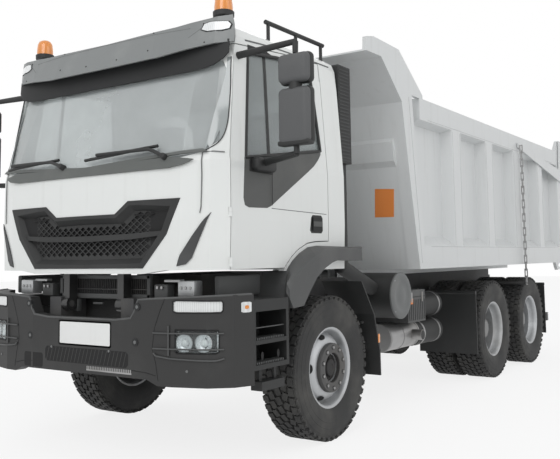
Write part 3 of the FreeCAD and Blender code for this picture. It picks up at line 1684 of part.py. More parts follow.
def tailgate():
    y0 = at(body_front_offset) + body_length + seat_gap
    y1 = y0 + gate_thickness
    low = lower_rail_bottom + bed_cross_height()
    top = side_wall_top
    panel = box(-body_half_width, body_half_width, y0, y1, low, top)
    rib_end = rear_y
    ribs = []
    height = top - low
    for share in (0.0, 0.3, 0.6, 0.92):
        z = low + height * share
        ribs.append(box(-body_half_width, body_half_width, y1, rib_end, z, z + height * 0.08))
    for share in (-0.96, 0.0, 0.96):
        x = body_half_width * share
        half = gate_rib_depth
        ribs.append(box(x - half, x + half, y1, rib_end, low, top))
    panel = fused([panel] + ribs)
    pivot_y = at(gate_pivot_offset)
    boss = gate_pivot_radius * 2.6
    x0 = arm_inner
    x1 = arm_inner + arm_thickness
    arm_y = at(chain_hook_offset)
    arm_z = arm_front_height()
    plate_outline = [
        (pivot_y - boss, gate_pivot_height + boss), (pivot_y + boss, gate_pivot_height + boss),
        (rib_end, gate_pivot_height - arm_height), (rib_end, top - arm_height * 4),
        (rib_end - arm_height * 1.5, top - arm_height * 4),
        (arm_y - arm_height / 4, arm_z - arm_height / 4), (arm_y - arm_height / 4, arm_z + arm_height / 4),
        (pivot_y - arm_height, top - arm_height * 2.4), (pivot_y - boss, gate_pivot_height - boss),
    ]
    arm = side_prism(plate_outline, x0, x1)
    stub = box(body_half_width - arm_thickness, x0, y0 + arm_thickness, y1, top - arm_height * 3.5, top - arm_height * 2)
    pin = rod_x(body_half_width - ear_wall - arm_thickness, x1, pivot_y, gate_pivot_height, gate_pivot_radius)
    eye_end = chain_plane - chain_link_width / 2 - seat_gap
    eye = rod_x(x0, eye_end, arm_y, arm_z, chain_pin_radius * 2)
    side = fused([arm, stub, pin, eye])
    return fused([panel, side, mirrored(side)])


def arm_front_height():
    pitch = chain_link_length - chain_wire * 2
    return chain_hook_height + pitch * chain_link_count


def chain():
    # Flat-sided links, each seated in the last, stand in one line.
    pitch = chain_link_length - chain_wire * 2
    half = chain_link_width / 2
    flat = chain_wire / 2
    links = []
    y = at(chain_hook_offset)
    x = chain_plane
    start = chain_hook_height - half
    for i in range(chain_link_count):
        z = start + pitch * i
        z1 = z + chain_link_length
        if i % 2:
            link = box(x - half, x + half, y - flat, y + flat, z, z1)
            hole = box(x - half + chain_wire, x + half - chain_wire, y - half, y + half,
                       z + chain_wire, z1 - chain_wire)
        else:
            link = box(x - flat, x + flat, y - half, y + half, z, z1)
            hole = box(x - half, x + half, y - half + chain_wire, y + half - chain_wire,
                       z + chain_wire, z1 - chain_wire)
        links.append(link.cut(hole))
    return links


def chain_bracket():
    y = at(chain_hook_offset)
    inner = rail_half_spacing
    end = chain_plane - chain_wire
    tube = rod_x(inner, end, y, chain_hook_height, chain_tube_radius)
    pin = rod_x(end, chain_plane + chain_wire * 2, y, chain_hook_height, chain_pin_radius)
    plate = box(inner, inner + rail_wall, y - crossmember_length, y + crossmember_length,
                rail_bottom + rail_wall, rail_bottom + rail_height)
    return fused([tube, pin, plate])


def hoist_angle():
    dy = hoist_eye_offset - hoist_foot_offset
    dz = hoist_eye_height - hoist_foot_height
    return math.hypot(dy, dz), math.degrees(math.atan2(dz, dy))


def place_hoist(shape):
    # The cylinder is drawn along +Y from its foot, then turned up and forward.
    length, angle = hoist_angle()
    shape.rotate(Vec(0, 0, 0), X_AXIS, angle)
    shape.translate(Vec(0, at(hoist_foot_offset), hoist_foot_height))
    return shape


def hoist_barrel():
    length, angle = hoist_angle()
    end = length - hoist_eye_radius * 2.2
    tube = rod_y(hoist_eye_radius, end, 0, 0, hoist_radius)
    bore = rod_y(hoist_eye_radius * 2, end + cut_overrun, 0, 0, hoist_bore_radius)
    tube = tube.cut(bore)
    eye = rod_x(-hoist_eye_width / 2, hoist_eye_width / 2, 0, 0, hoist_eye_radius)
    neck = rod_y(0, hoist_eye_radius * 2, 0, 0, hoist_eye_width / 2)
    barrel = fused([tube, eye, neck])
    barrel = barrel.cut(rod_x(-hoist_eye_width, hoist_eye_width, 0, 0, hoist_pin_radius + bearing_gap))
    return place_hoist(barrel)


def hoist_rod():
    length, angle = hoist_angle()
    start = hoist_eye_radius * 2.4
    rod = rod_y(start, length - hoist_eye_radius * 1.2, 0, 0, hoist_rod_radius)
    neck = rod_y(start, length, 0, 0, hoist_eye_width / 2 - rim_wall / 2)
    piston = rod_y(start, start + hoist_eye_radius, 0, 0, hoist_bore_radius - bearing_gap)
    eye = rod_x(-hoist_eye_width / 2, hoist_eye_width / 2, length, 0, hoist_eye_radius)
    eye = eye.fuse(neck)
    return place_hoist(fused([rod, piston, eye]))


def hoist_seat():
    # Two ears on a crossmember hold the foot pin.
    y = at(hoist_foot_offset)
    gap = hoist_eye_width / 2 + knuckle_ear_gap
    y0 = at(-rail_front_offset)
    cross_y = y0 + crossmember_shares[2] * (at(rail_rear_offset) - y0) - crossmember_length / 2
    parts = []
    for x in (-gap - hoist_lug_width, gap):
        parts.append(rod_x(x, x + hoist_lug_width, y, hoist_foot_height, hoist_eye_radius))
        parts.append(box(x, x + hoist_lug_width, y, cross_y, hoist_foot_height - hoist_eye_radius,
                         hoist_foot_height + hoist_eye_radius))
    parts.append(rod_x(-gap - hoist_lug_width, gap + hoist_lug_width, y, hoist_foot_height, hoist_pin_radius))
    return parts


tow_reach = 90.0
tow_plate = 30.0
tow_bore_radius = 25.0
tow_half_width = 80.0


def tow_jaw():
    # Two plates with an upright bore at the rear crossmember.
    y0 = at(rail_rear_offset) - crossmember_length + rail_wall / 2
    y1 = at(rail_rear_offset) + tow_reach
    mid = rail_bottom + rail_height / 2
    plates = []
    for z in (mid - tow_plate * 2, mid + tow_plate):
        plates.append(box(-tow_half_width, tow_half_width, y0, y1, z, z + tow_plate))
    jaw = fused(plates)
    hole = rod_z(mid - tow_plate * 3, mid + tow_plate * 3, 0, y1 - tow_reach / 2, tow_bore_radius)
    return jaw.cut(hole)


def tilt_brackets():
    y = at(cab_tilt_offset)
    parts = []
    inner = tilt_lug_half + tilt_lug_width / 2 + knuckle_ear_gap
    parts.append(box(inner, rail_half_spacing, y - tilt_boss_radius, at(-rail_front_offset) + tilt_boss_radius,
                     rail_bottom + rail_wall, cab_tilt_height + tilt_boss_radius))
    pin_x0 = tilt_lug_half - tilt_lug_width / 2
    parts.append(rod_x(pin_x0, rail_half_spacing, y, cab_tilt_height, tilt_pin_radius))
    return fused(parts)


def full_chassis():
    frame = chassis_frame()
    pieces = [frame, tow_jaw()] + hoist_seat()
    pieces.extend(both_sides([chain_bracket(), tilt_brackets(), bumper_stays()]))
    return fused(pieces)


def make_body():
    save("tipper_body", [tipper_body()])
    save("tailgate", [tailgate()])
    save("chains", both_sides_links(chain()))
    save("hoist_barrel", [hoist_barrel()])
    save("hoist_rod", [hoist_rod()])
    save("chassis_frame", [full_chassis()])


def both_sides_links(links):
    return links + [mirrored(link) for link in links]


def main():
    os.makedirs("parts", exist_ok=True)
    make_wheels()
    make_axles()
    make_body()
    save("subframe", [subframe()])
    save("engine_block", drivetrain())
    save("driveline", driveline())
    make_cab()
    make_surroundings()


main()
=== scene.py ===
import math
import bmesh
import bpy
from mathutils import Matrix, Vector


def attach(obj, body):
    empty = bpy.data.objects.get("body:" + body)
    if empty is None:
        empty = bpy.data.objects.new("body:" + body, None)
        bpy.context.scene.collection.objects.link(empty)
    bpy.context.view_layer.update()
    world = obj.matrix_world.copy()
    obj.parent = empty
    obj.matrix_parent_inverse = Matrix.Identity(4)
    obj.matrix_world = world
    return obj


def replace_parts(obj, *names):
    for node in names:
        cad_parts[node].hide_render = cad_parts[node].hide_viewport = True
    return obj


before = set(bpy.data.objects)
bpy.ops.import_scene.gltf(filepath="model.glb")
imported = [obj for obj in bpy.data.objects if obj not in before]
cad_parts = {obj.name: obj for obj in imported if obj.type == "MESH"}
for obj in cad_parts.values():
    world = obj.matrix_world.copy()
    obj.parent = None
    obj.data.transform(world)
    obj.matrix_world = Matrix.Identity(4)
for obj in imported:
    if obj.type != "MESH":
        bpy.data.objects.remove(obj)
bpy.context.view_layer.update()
axleY = -2.6  # the front axle's place; offsets along the truck count from it


def at(offset):
    return axleY + offset


# shader helper: a wire is one socket, and maths on it adds Math nodes
class Wire:
    def __init__(self, tree, socket=None):
        self.tree = tree
        self.socket = socket

    def node(self, kind, settings=None, inputs=None, output=0):
        made = self.tree.nodes.new(kind)
        for key, value in (settings or {}).items():
            setattr(made, key, value)
        for key, value in (inputs or {}).items():
            if isinstance(value, Wire):
                self.tree.links.new(value.socket, made.inputs[key])
            else:
                made.inputs[key].default_value = value
        return Wire(self.tree, made.outputs[output] if made.outputs else None)

    def maths(self, operation, first, second):
        return self.node("ShaderNodeMath", {"operation": operation}, {0: first, 1: second})

    def __add__(self, other):
        return self.maths("ADD", self, other)

    def __radd__(self, other):
        return self.maths("ADD", other, self)

    def __sub__(self, other):
        return self.maths("SUBTRACT", self, other)

    def __rsub__(self, other):
        return self.maths("SUBTRACT", other, self)

    def __mul__(self, other):
        return self.maths("MULTIPLY", self, other)

    def __rmul__(self, other):
        return self.maths("MULTIPLY", other, self)

    def noise(self, where, scale, detail=3.0, rough=0.55):
        return self.node("ShaderNodeTexNoise", None,
                         {"Vector": where, "Scale": scale, "Detail": detail, "Roughness": rough})

    def band(self, value, low, high):
        return self.node("ShaderNodeMapRange", {"interpolation_type": "SMOOTHSTEP"},
                         {"Value": value, "From Min": low, "From Max": high})

    def blend(self, factor, first, second):
        return self.node("ShaderNodeMix", {"data_type": "RGBA"}, {0: factor, 6: first, 7: second}, 2)

    def bump(self, height, strength, distance):
        return self.node("ShaderNodeBump", None,
                         {"Height": height, "Strength": strength, "Distance": distance})


def shade(r, g=None, b=None):
    # a colour as it looks on screen, 0 to 255, turned into the linear value
    values = [r, r if g is None else g, r if b is None else b]
    return tuple(((v / 255 + 0.055) / 1.055) ** 2.4 if v > 10 else v / 255 / 12.92 for v in values) + (1.0,)


def newMaterial(name):
    mat = bpy.data.materials.new(name)
    mat.use_nodes = True
    mat.node_tree.nodes.clear()
    return mat, Wire(mat.node_tree)


def finishMaterial(mat, w, inputs):
    surface = w.node("ShaderNodeBsdfPrincipled", None, inputs)
    w.node("ShaderNodeOutputMaterial", None, {"Surface": surface})
    return mat


def here(w):
    return w.node("ShaderNodeTexCoord", None, None, "Object")


def paintMaterial(name, colour, dust, rough=0.32, coat=0.35, dustTop=1.6, grime=0.35, sill=0.0):
    # sprayed paint: soft orange peel, dust that thickens downwards and thin runs
    mat, w = newMaterial(name)
    spot = here(w)
    cloud = w.noise(spot, 1.3, 4.0)
    fine = w.noise(spot, 22.0, 3.0)
    stretch = w.node("ShaderNodeMapping", None, {"Vector": spot, "Scale": (14.0, 14.0, 1.1)})
    runs = w.band(w.noise(stretch, 1.0, 4.0), 0.52, 0.78)
    height = w.node("ShaderNodeSeparateXYZ", None, {"Vector": spot}, 2)
    low = w.band(height, dustTop, 0.5)
    dirt = low * 0.55 * cloud + runs * fine * grime * 0.5
    tint = w.blend(dirt, colour, dust)
    if sill:
        # what hangs below the sill is left black
        tint = w.blend(w.band(height, sill + 0.003, sill), tint, shade(38))
    grain = w.noise(spot, 260.0, 2.0)
    return finishMaterial(mat, w, {
        "Base Color": tint, "Roughness": rough + dirt * 0.5, "Coat Weight": coat, "Coat Roughness": 0.12,
        "Normal": w.bump(grain, 0.05, 0.002)})


def plasticMaterial(name, colour, worn, rough=0.55, grainScale=420.0, bumpSize=0.25, dustTop=0.9):
    # moulded plastic with a fine leather grain, paler where it is rubbed
    mat, w = newMaterial(name)
    spot = here(w)
    grain = w.node("ShaderNodeTexVoronoi", {"feature": "SMOOTH_F1"},
                   {"Vector": spot, "Scale": grainScale}, "Distance")
    cloud = w.noise(spot, 2.4, 4.0)
    height = w.node("ShaderNodeSeparateXYZ", None, {"Vector": spot}, 2)
    low = w.band(height, dustTop, 0.2)
    wear = w.band(cloud, 0.48, 0.75) * 0.5 + low * cloud * 0.5
    tint = w.blend(wear, colour, worn)
    return finishMaterial(mat, w, {
        "Base Color": tint, "Roughness": rough + cloud * 0.15, "Normal": w.bump(grain, bumpSize, 0.0006)})


def metalMaterial(name, colour, worn, metallic, rough, streak=(1.0, 1.0, 1.0), dustTop=0.9):
    # metal with brushed or cast variation and settled dust
    mat, w = newMaterial(name)
    spot = here(w)
    stretch = w.node("ShaderNodeMapping", None, {"Vector": spot, "Scale": streak})
    lines = w.noise(stretch, 60.0, 4.0)
    cloud = w.noise(spot, 3.0, 4.0)
    height = w.node("ShaderNodeSeparateXYZ", None, {"Vector": spot}, 2)
    low = w.band(height, dustTop, 0.15)
    dirt = w.band(cloud, 0.45, 0.8) * 0.6 + low * cloud * 0.4
    tint = w.blend(dirt, colour, worn)
    return finishMaterial(mat, w, {
        "Base Color": tint, "Metallic": metallic, "Roughness": rough + lines * 0.2 + dirt * 0.15,
        "Normal": w.bump(lines, 0.12, 0.001)})


def glassMaterial(name, tint, paintedReflectionShare=0.3):
    # clear pane: tinted see-through, mixed with an opaque pale face that is painted reflection of the sky
    mat, w = newMaterial(name)
    spot = here(w)
    hazeAndSheen = w.noise(spot, 5.0, 3.0)
    clear = w.node("ShaderNodeBsdfTransparent", None, {"Color": tint})
    # the face's pale colour is painted reflection, with more of it at grazing angles and where the noise is
    # high
    face = w.node("ShaderNodeBsdfPrincipled", None, {
        "Base Color": w.blend(hazeAndSheen, shade(232, 236, 236), shade(206, 210, 210)),
        "Roughness": 0.06 + hazeAndSheen * 0.05, "Coat Weight": 1.0, "Coat Roughness": 0.03})
    gloss = w.node("ShaderNodeFresnel", None, {"IOR": 1.45})
    share = paintedReflectionShare + gloss * 0.35 + hazeAndSheen * 0.05
    mixed = w.node("ShaderNodeMixShader", None, {0: share, 1: clear, 2: face})
    w.node("ShaderNodeOutputMaterial", None, {"Surface": mixed})
    return mat


def lampGlass(name, tint, dark):
    # ribbed lens
    mat, w = newMaterial(name)
    spot = here(w)
    ribs = w.node("ShaderNodeTexWave", {"bands_direction": "X"},
                  {"Vector": spot, "Scale": 22.0, "Distortion": 0.0})
    fine = w.noise(spot, 30.0, 2.0)
    return finishMaterial(mat, w, {
        "Base Color": w.blend(ribs * 0.3 + fine * 0.2, tint, dark), "Roughness": 0.12 + fine * 0.1,
        "Coat Weight": 1.0, "Coat Roughness": 0.05, "Normal": w.bump(ribs, 0.25, 0.002)})


def rubberMaterial(name, colour, dusty, rough=0.72):
    # rubber with dust caught in its grain
    mat, w = newMaterial(name)
    spot = here(w)
    fine = w.noise(spot, 90.0, 4.0)
    cloud = w.noise(spot, 4.0, 4.0)
    dust = w.band(cloud, 0.4, 0.75) * 0.7 + w.band(fine, 0.5, 0.8) * 0.25
    return finishMaterial(mat, w, {
        "Base Color": w.blend(dust, colour, dusty), "Roughness": rough + fine * 0.15,
        "Normal": w.bump(fine, 0.2, 0.0008)})


def clothMaterial(name, colour, dark):
    # woven seat cloth
    mat, w = newMaterial(name)
    spot = here(w)
    weave = w.node("ShaderNodeTexChecker", None, {"Vector": spot, "Scale": 380.0}, 1)
    cloud = w.noise(spot, 8.0, 3.0)
    return finishMaterial(mat, w, {
        "Base Color": w.blend(weave * 0.3 + cloud * 0.4, colour, dark), "Roughness": 0.85,
        "Normal": w.bump(weave, 0.3, 0.0008)})


# finishes by kind: colour on screen, worn or dusty colour, and what differs from the usual
paintFinishes = {
    "cabPaint": ((228, 230, 228), (172, 170, 164), {"sill": 1.27}),
    "bedPaint": ((214, 216, 216), (165, 163, 158), {"rough": 0.42, "coat": 0.15, "grime": 0.5}),
    # opaque grey for the glass's curved ends: painted reflection and shade
    "glassEnd": ((150, 156, 156), (130, 134, 134), {"rough": 0.08, "coat": 1.0}),
    "plateWhite": ((236, 237, 236), (206, 205, 200), {"rough": 0.4, "coat": 0.1}),
    "panelOrange": ((236, 142, 70), (206, 128, 80), {"rough": 0.5, "coat": 0.0}),
    "weldShade": ((176, 178, 178), (150, 148, 142), {"rough": 0.5, "coat": 0.0}),
}
plasticFinishes = {
    "visorPaint": ((126, 129, 129), (150, 152, 151), {"rough": 0.35, "grainScale": 300.0, "bumpSize": 0.08}),
    "blackPlastic": ((36, 37, 37), (58, 58, 58), {"rough": 0.5}),
    "bumperPlastic": ((43, 43, 43), (62, 62, 61), {"dustTop": 1.2}),
    "bumperEdge": ((78, 79, 79), (98, 98, 97), {"rough": 0.45}),
    "greyPlastic": ((80, 81, 81), (104, 104, 103), {"rough": 0.5, "dustTop": 1.3}),
    "cowlPlastic": ((94, 97, 95), (112, 114, 112), {"rough": 0.5}),
    "shadePlastic": ((32, 33, 34), (44, 45, 45), {"rough": 0.6}),
    "doorPlastic": ((84, 85, 84), (104, 104, 102), {}),
    # the duct louvres' own colour, also used as painted shade on the side vents
    "ventPlastic": ((56, 57, 58), (80, 81, 81), {"rough": 0.5}),
    "sidePlastic": ((70, 71, 71), (88, 88, 87), {}),
    # the seams' and gutters' colour; on the creases it is painted shade
    "seamShade": ((110, 112, 112), (140, 141, 140), {"rough": 0.7}),
    "holeShade": ((20, 20, 21), (30, 30, 30), {"rough": 0.7}),
    "capGrey": ((104, 106, 106), (124, 124, 122), {"rough": 0.45}),
    "guardGrey": ((74, 75, 75), (92, 92, 91), {"rough": 0.45}),
    "mirrorGrey": ((84, 85, 86), (104, 104, 104), {"rough": 0.5}),
}
metalFinishes = {
    "frameSteel": ((60, 60, 61), (92, 90, 86), {"metallic": 0.0, "rough": 0.5}),
    "castIron": ((52, 52, 52), (84, 80, 74), {"metallic": 0.2, "rough": 0.6}),
    "bareSteel": ((170, 170, 170), (120, 116, 110),
                  {"metallic": 0.9, "rough": 0.35, "streak": (1.0, 0.1, 1.0)}),
    "aluminium": ((188, 190, 191), (150, 149, 146),
                  {"metallic": 0.8, "rough": 0.35, "streak": (1.0, 0.05, 1.0)}),
    "rimSilver": ((186, 188, 190), (140, 138, 134), {"metallic": 0.6, "rough": 0.34, "dustTop": 0.5}),
    "hubGrey": ((86, 86, 86), (112, 108, 102), {"metallic": 0.3, "rough": 0.5}),
    "hubDark": ((44, 44, 45), (66, 63, 59), {"metallic": 0.1, "rough": 0.6}),
    "hubPale": ((150, 151, 151), (120, 116, 110), {"metallic": 0.3, "rough": 0.45}),
    "chromeBowl": ((236, 238, 240), (206, 208, 210), {"metallic": 0.35, "rough": 0.15}),
}
lensFinishes = {
    "lampClear": ((232, 234, 233), (176, 178, 178), {}),
    "lampLens": ((240, 242, 242), (188, 192, 194), {}),
    "amberLens": ((238, 150, 52), (196, 98, 22), {}),
    "redLens": ((176, 34, 28), (112, 16, 14), {}),
}
rubberFinishes = {"tyreRubber": ((52, 52, 52), (84, 83, 80), {})}
clothFinishes = {"seatCloth": ((158, 160, 162), (120, 122, 125), {})}
# panes: tint and how much painted sky reflection shows on them
glassFinishes = {
    "paneGlass": ((246, 248, 248), 0.3),
    "doorGlass": ((232, 235, 235), 0.12),
    "lampShield": ((250, 252, 252), 0.03),
}

finishes = {}
finishKinds = (
    (paintMaterial, paintFinishes), (plasticMaterial, plasticFinishes), (metalMaterial, metalFinishes),
    (lampGlass, lensFinishes), (rubberMaterial, rubberFinishes), (clothMaterial, clothFinishes),
)
for maker, table in finishKinds:
    for finishName, (colour, worn, unusual) in table.items():
        finishes[finishName] = maker(finishName, shade(*colour), shade(*worn), **unusual)
for finishName, (tint, paintedReflectionShare) in glassFinishes.items():
    finishes[finishName] = glassMaterial(finishName, shade(*tint), paintedReflectionShare)
print("materials ready:", len(finishes))

# the CAD nodes that wear each finish; rims and tyres go by their first word
wornBy = {
    "frameSteel": ("chassis_frame", "subframe", "rear_bar", "hoist_barrel"),
    "castIron": ("front_axle", "rear_axles", "leaf_springs", "engine_block", "driveline", "knuckle_left",
                 "knuckle_right", "tie_rod"),
    "bumperPlastic": ("bumper",),
    "chromeBowl": ("lamps",),
    "blackPlastic": ("cab_steps", "mudguards", "air_tanks", "air_intake", "grille", "roof_rails",
                     "steering_wheel"),
    "aluminium": ("fuel_tank",),
    "greyPlastic": ("battery_box", "fenders", "dashboard", "mirrors_left", "mirrors_right"),
    "bareSteel": ("muffler", "chains", "hoist_rod"),
    "cabPaint": ("cab_shell", "door_left", "door_right"),
    "paneGlass": ("windscreen",),
    "visorPaint": ("visor",),
    "amberLens": ("beacons",),
    "seatCloth": ("seats",),
    "doorGlass": ("door_glass_left", "door_glass_right"),
    "bedPaint": ("tipper_body", "tailgate"),
}
nodeFinish = {node: finish for finish, nodes in wornBy.items() for node in nodes}


def dressNodes():
    for name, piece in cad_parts.items():
        firstWord = name.split("_")[0]
        finish = {"rim": "rimSilver", "tyre": "tyreRubber"}.get(firstWord) or nodeFinish[name]
        for slot in piece.material_slots:
            slot.material = finishes[finish]
        if not piece.material_slots:
            piece.data.materials.append(finishes[finish])


dressNodes()


# stage: pale floor, pale surroundings, soft studio light
stageSettings = {
    "floorHalf": 40.0, "floorShade": 0.94, "floorGlow": 0.82,
    "skyStrength": 0.68, "skyShade": (0.98, 0.99, 1.0),
}


def cameraRays(w):
    # 1 where the camera looks, straight, through glass or by a mirror, and 0 where light falls
    path = w.node("ShaderNodeLightPath")
    outputs = {name: Wire(w.tree, path.socket.node.outputs[name])
               for name in ("Is Camera Ray", "Is Glossy Ray", "Is Transmission Ray")}
    seen = w.maths("MAXIMUM", outputs["Is Camera Ray"], outputs["Is Glossy Ray"])
    return w.maths("MAXIMUM", seen, outputs["Is Transmission Ray"])


def makeStage():
    half = stageSettings["floorHalf"]
    bm = bmesh.new()
    bmesh.ops.create_grid(bm, x_segments=2, y_segments=2, size=half)
    mesh = bpy.data.meshes.new("stageFloor")
    bm.to_mesh(mesh)
    bm.free()
    floor = bpy.data.objects.new("stageFloor", mesh)
    bpy.context.collection.objects.link(floor)
    mat, w = newMaterial("stageFloor")
    pale = stageSettings["floorShade"]
    matt = w.node("ShaderNodeBsdfDiffuse", None, {"Color": (pale, pale, pale, 1.0)})
    glow = w.node("ShaderNodeEmission", None, {"Color": (1.0, 1.0, 1.0, 1.0), "Strength": 1.0})
    seen = cameraRays(w) * stageSettings["floorGlow"]
    mixed = w.node("ShaderNodeMixShader", None, {0: seen, 1: matt, 2: glow})
    w.node("ShaderNodeOutputMaterial", None, {"Surface": mixed})
    floor.data.materials.append(mat)

    world = bpy.data.worlds.new("studio")
    bpy.context.scene.world = world
    world.use_nodes = True
    world.node_tree.nodes.clear()
    w = Wire(world.node_tree)
    soft = w.node("ShaderNodeBackground", None,
                  {"Color": (*stageSettings["skyShade"], 1.0), "Strength": stageSettings["skyStrength"]})
    white = w.node("ShaderNodeBackground", None, {"Color": (1.0, 1.0, 1.0, 1.0), "Strength": 1.0})
    seen = cameraRays(w)
    mixed = w.node("ShaderNodeMixShader", None, {0: seen, 1: soft, 2: white})
    w.node("ShaderNodeOutputWorld", None, {"Surface": mixed})


# studio lights: large soft panels in front, beside and behind
lightSettings = {
    "key": {"place": (3.0, -13.0, 9.0), "aim": (0.0, -1.0, 1.5), "power": 420.0, "size": 7.0},
    "side": {"place": (12.0, -2.0, 7.0), "aim": (0.0, 0.5, 1.4), "power": 160.0, "size": 8.0},
    "rear": {"place": (-8.0, 9.0, 9.0), "aim": (0.0, 1.0, 1.5), "power": 120.0, "size": 8.0},
}


def makeLights():
    for name, values in lightSettings.items():
        data = bpy.data.lights.new(name, "AREA")
        data.energy = values["power"]
        data.size = values["size"]
        lamp = bpy.data.objects.new(name, data)
        bpy.context.collection.objects.link(lamp)
        lamp.location = values["place"]
        aim = Vector(values["aim"]) - Vector(values["place"])
        lamp.rotation_euler = aim.to_track_quat("-Z", "Y").to_euler()


# camera, as the picture was taken: 560 x 459 pixels
cameraSettings = {
    "place": (4.1615, at(-5.0493), 1.3708), "yaw": 0.5993, "pitch": 0.0884, "roll": -0.014,
    "focalPixels": 765.02, "widePixels": 560.0, "shiftPixels": -40.0, "sensor": 36.0, "reach": 200.0,
}


def makeCamera():
    c = cameraSettings
    data = bpy.data.cameras.new("view")
    data.sensor_fit = "HORIZONTAL"
    data.sensor_width = c["sensor"]
    data.lens = c["focalPixels"] / c["widePixels"] * c["sensor"]
    data.shift_y = c["shiftPixels"] / c["widePixels"]
    data.clip_end = c["reach"]
    camera = bpy.data.objects.new("view", data)
    bpy.context.collection.objects.link(camera)
    level = math.cos(c["pitch"])
    ahead = Vector((-math.sin(c["yaw"]) * level, math.cos(c["yaw"]) * level, math.sin(c["pitch"])))
    right = ahead.cross(Vector((0, 0, 1))).normalized()
    up = right.cross(ahead)
    turn = Matrix.Rotation(-c["roll"], 3, ahead)
    right, up = turn @ right, turn @ up
    basis = Matrix((right, up, -ahead)).transposed()
    camera.matrix_world = Matrix.Translation(Vector(c["place"])) @ basis.to_4x4()
    bpy.context.scene.camera = camera


makeStage()
makeLights()
makeCamera()
bpy.context.scene.view_settings.view_transform = "Standard"
print("stage, lights and camera set")

# shape helpers: every maker adds to one bmesh, and settle() turns it into a piece
bothSides = (1.0, -1.0)
sideNames = ((1.0, "left"), (-1.0, "right"))
mirrorX = Matrix.Diagonal((-1, 1, 1, 1))
roundAngle = 60.0  # edges sharper than this stay sharp on pipes and bowls


def settle(name, bm, finish, body, sharp=35.0):
    bmesh.ops.recalc_face_normals(bm, faces=bm.faces)
    mesh = bpy.data.meshes.new(name)
    bm.to_mesh(mesh)
    bm.free()
    for face in mesh.polygons:
        face.use_smooth = True
    mesh.set_sharp_from_angle(angle=math.radians(sharp))
    piece = bpy.data.objects.new(name, mesh)
    bpy.context.collection.objects.link(piece)
    mesh.materials.append(finishes[finish])
    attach(piece, body)
    return piece


def block(bm, low, high, edge=0.0, steps=2):
    # box between two corners with its edges rounded
    low, high = Vector(low), Vector(high)
    made = bmesh.ops.create_cube(bm, size=1.0)["verts"]
    place = Matrix.Translation((low + high) / 2) @ Matrix.Diagonal((*(high - low), 1.0))
    bmesh.ops.transform(bm, matrix=place, verts=made)
    if edge:
        edges = list({e for v in made for e in v.link_edges})
        bmesh.ops.bevel(bm, geom=edges, offset=edge, affect="EDGES", segments=steps, profile=0.5, material=-1)


def blocks(bm, rows, face=axleY, sides=(1.0,)):
    # boxes from rows of low corner, high corner, edge and steps; y counts from a face
    for side in sides:
        for (x0, y0, z0), (x1, y1, z1), *rounding in rows:
            block(bm, (side * x0, face + y0, z0), (side * x1, face + y1, z1), *rounding)


def rod(bm, start, end, radius, endRadius=None, sides=16, edge=0.0):
    # round or many-sided bar between two points, its end edges rounded
    start, end = Vector(start), Vector(end)
    along = end - start
    endRadius = radius if endRadius is None else endRadius
    made = bmesh.ops.create_cone(bm, cap_ends=True, segments=sides, radius1=radius, radius2=endRadius,
                                 depth=along.length)["verts"]
    spin = along.to_track_quat("Z", "Y").to_matrix().to_4x4()
    bmesh.ops.transform(bm, matrix=Matrix.Translation((start + end) / 2) @ spin, verts=made)
    if edge:
        caps = [f for f in {f for v in made for f in v.link_faces} if len(f.verts) == sides]
        edges = list({e for f in caps for e in f.edges})
        bmesh.ops.bevel(bm, geom=edges, offset=edge, affect="EDGES", segments=2, profile=0.5, material=-1)


def tube(name, lines, radius, finish, body, soft=True):
    # bent wires or pipes along lines of points
    curve = bpy.data.curves.new(name, "CURVE")
    curve.dimensions = "3D"
    curve.bevel_depth = radius
    curve.bevel_resolution = 3
    curve.use_fill_caps = True
    curve.resolution_u = 6
    for points in lines:
        spline = curve.splines.new("NURBS" if soft else "POLY")
        spline.points.add(len(points) - 1)
        for spot, point in zip(spline.points, points):
            spot.co = (*point, 1.0)
        if soft:
            spline.order_u = 3
            spline.use_endpoint_u = True
    holder = bpy.data.objects.new(name + "Line", curve)
    bpy.context.collection.objects.link(holder)
    mesh = bpy.data.meshes.new_from_object(holder.evaluated_get(bpy.context.evaluated_depsgraph_get()))
    bpy.data.objects.remove(holder)
    bm = bmesh.new()
    bm.from_mesh(mesh)
    bpy.data.meshes.remove(mesh)
    return settle(name, bm, finish, body, roundAngle)


def joined(bm, other, place=None):
    # adds a copy of another bmesh at a place
    mesh = bpy.data.meshes.new("part")
    other.to_mesh(mesh)
    if place is not None:
        mesh.transform(place)
    bm.from_mesh(mesh)
    bpy.data.meshes.remove(mesh)


def lathe(profile, steps=72, closed=False, wall=0.0):
    # a profile of (along x, radius) turned round the x axis
    bm = bmesh.new()
    verts = [bm.verts.new((a, 0.0, r)) for a, r in profile]
    edges = [bm.edges.new(pair) for pair in zip(verts, verts[1:])]
    if closed:
        edges.append(bm.edges.new((verts[-1], verts[0])))
    bmesh.ops.spin(bm, geom=verts + edges, cent=(0, 0, 0), axis=(1, 0, 0), angle=2 * math.pi, steps=steps,
                   use_merge=True)
    bmesh.ops.remove_doubles(bm, verts=bm.verts, dist=1e-5)
    bmesh.ops.recalc_face_normals(bm, faces=bm.faces)
    if wall:
        bmesh.ops.solidify(bm, geom=bm.faces[:], thickness=wall)
    return bm


# the cab's skin as a rule, so that trim follows it without touching the CAD mesh
cabShape = {
    "half": 1.14, "length": 1.683, "front": at(-1.4), "low": 1.275, "height": 1.715,
    # share of the height, of the half width, and of the length at the nose, the corner's end and the rear
    "levels": ((0.0, 0.99, 0.005, 0.125, 1.0), (0.2, 1.0, 0.0, 0.125, 1.0),
               (0.424, 1.0, 0.005, 0.125, 1.0), (0.836, 0.955, 0.149, 0.187, 1.0),
               (0.93, 0.94, 0.187, 0.22, 1.0), (0.965, 0.92, 0.2, 0.235, 0.995),
               (0.99, 0.86, 0.235, 0.27, 0.98), (1.0, 0.74, 0.3, 0.34, 0.93)),
    # the corner's bend: share of the half width and of the corner's depth
    "corner": ((0.0, 0.0), (0.45, 0.05), (0.75, 0.2), (0.92, 0.52), (1.0, 1.0)),
}


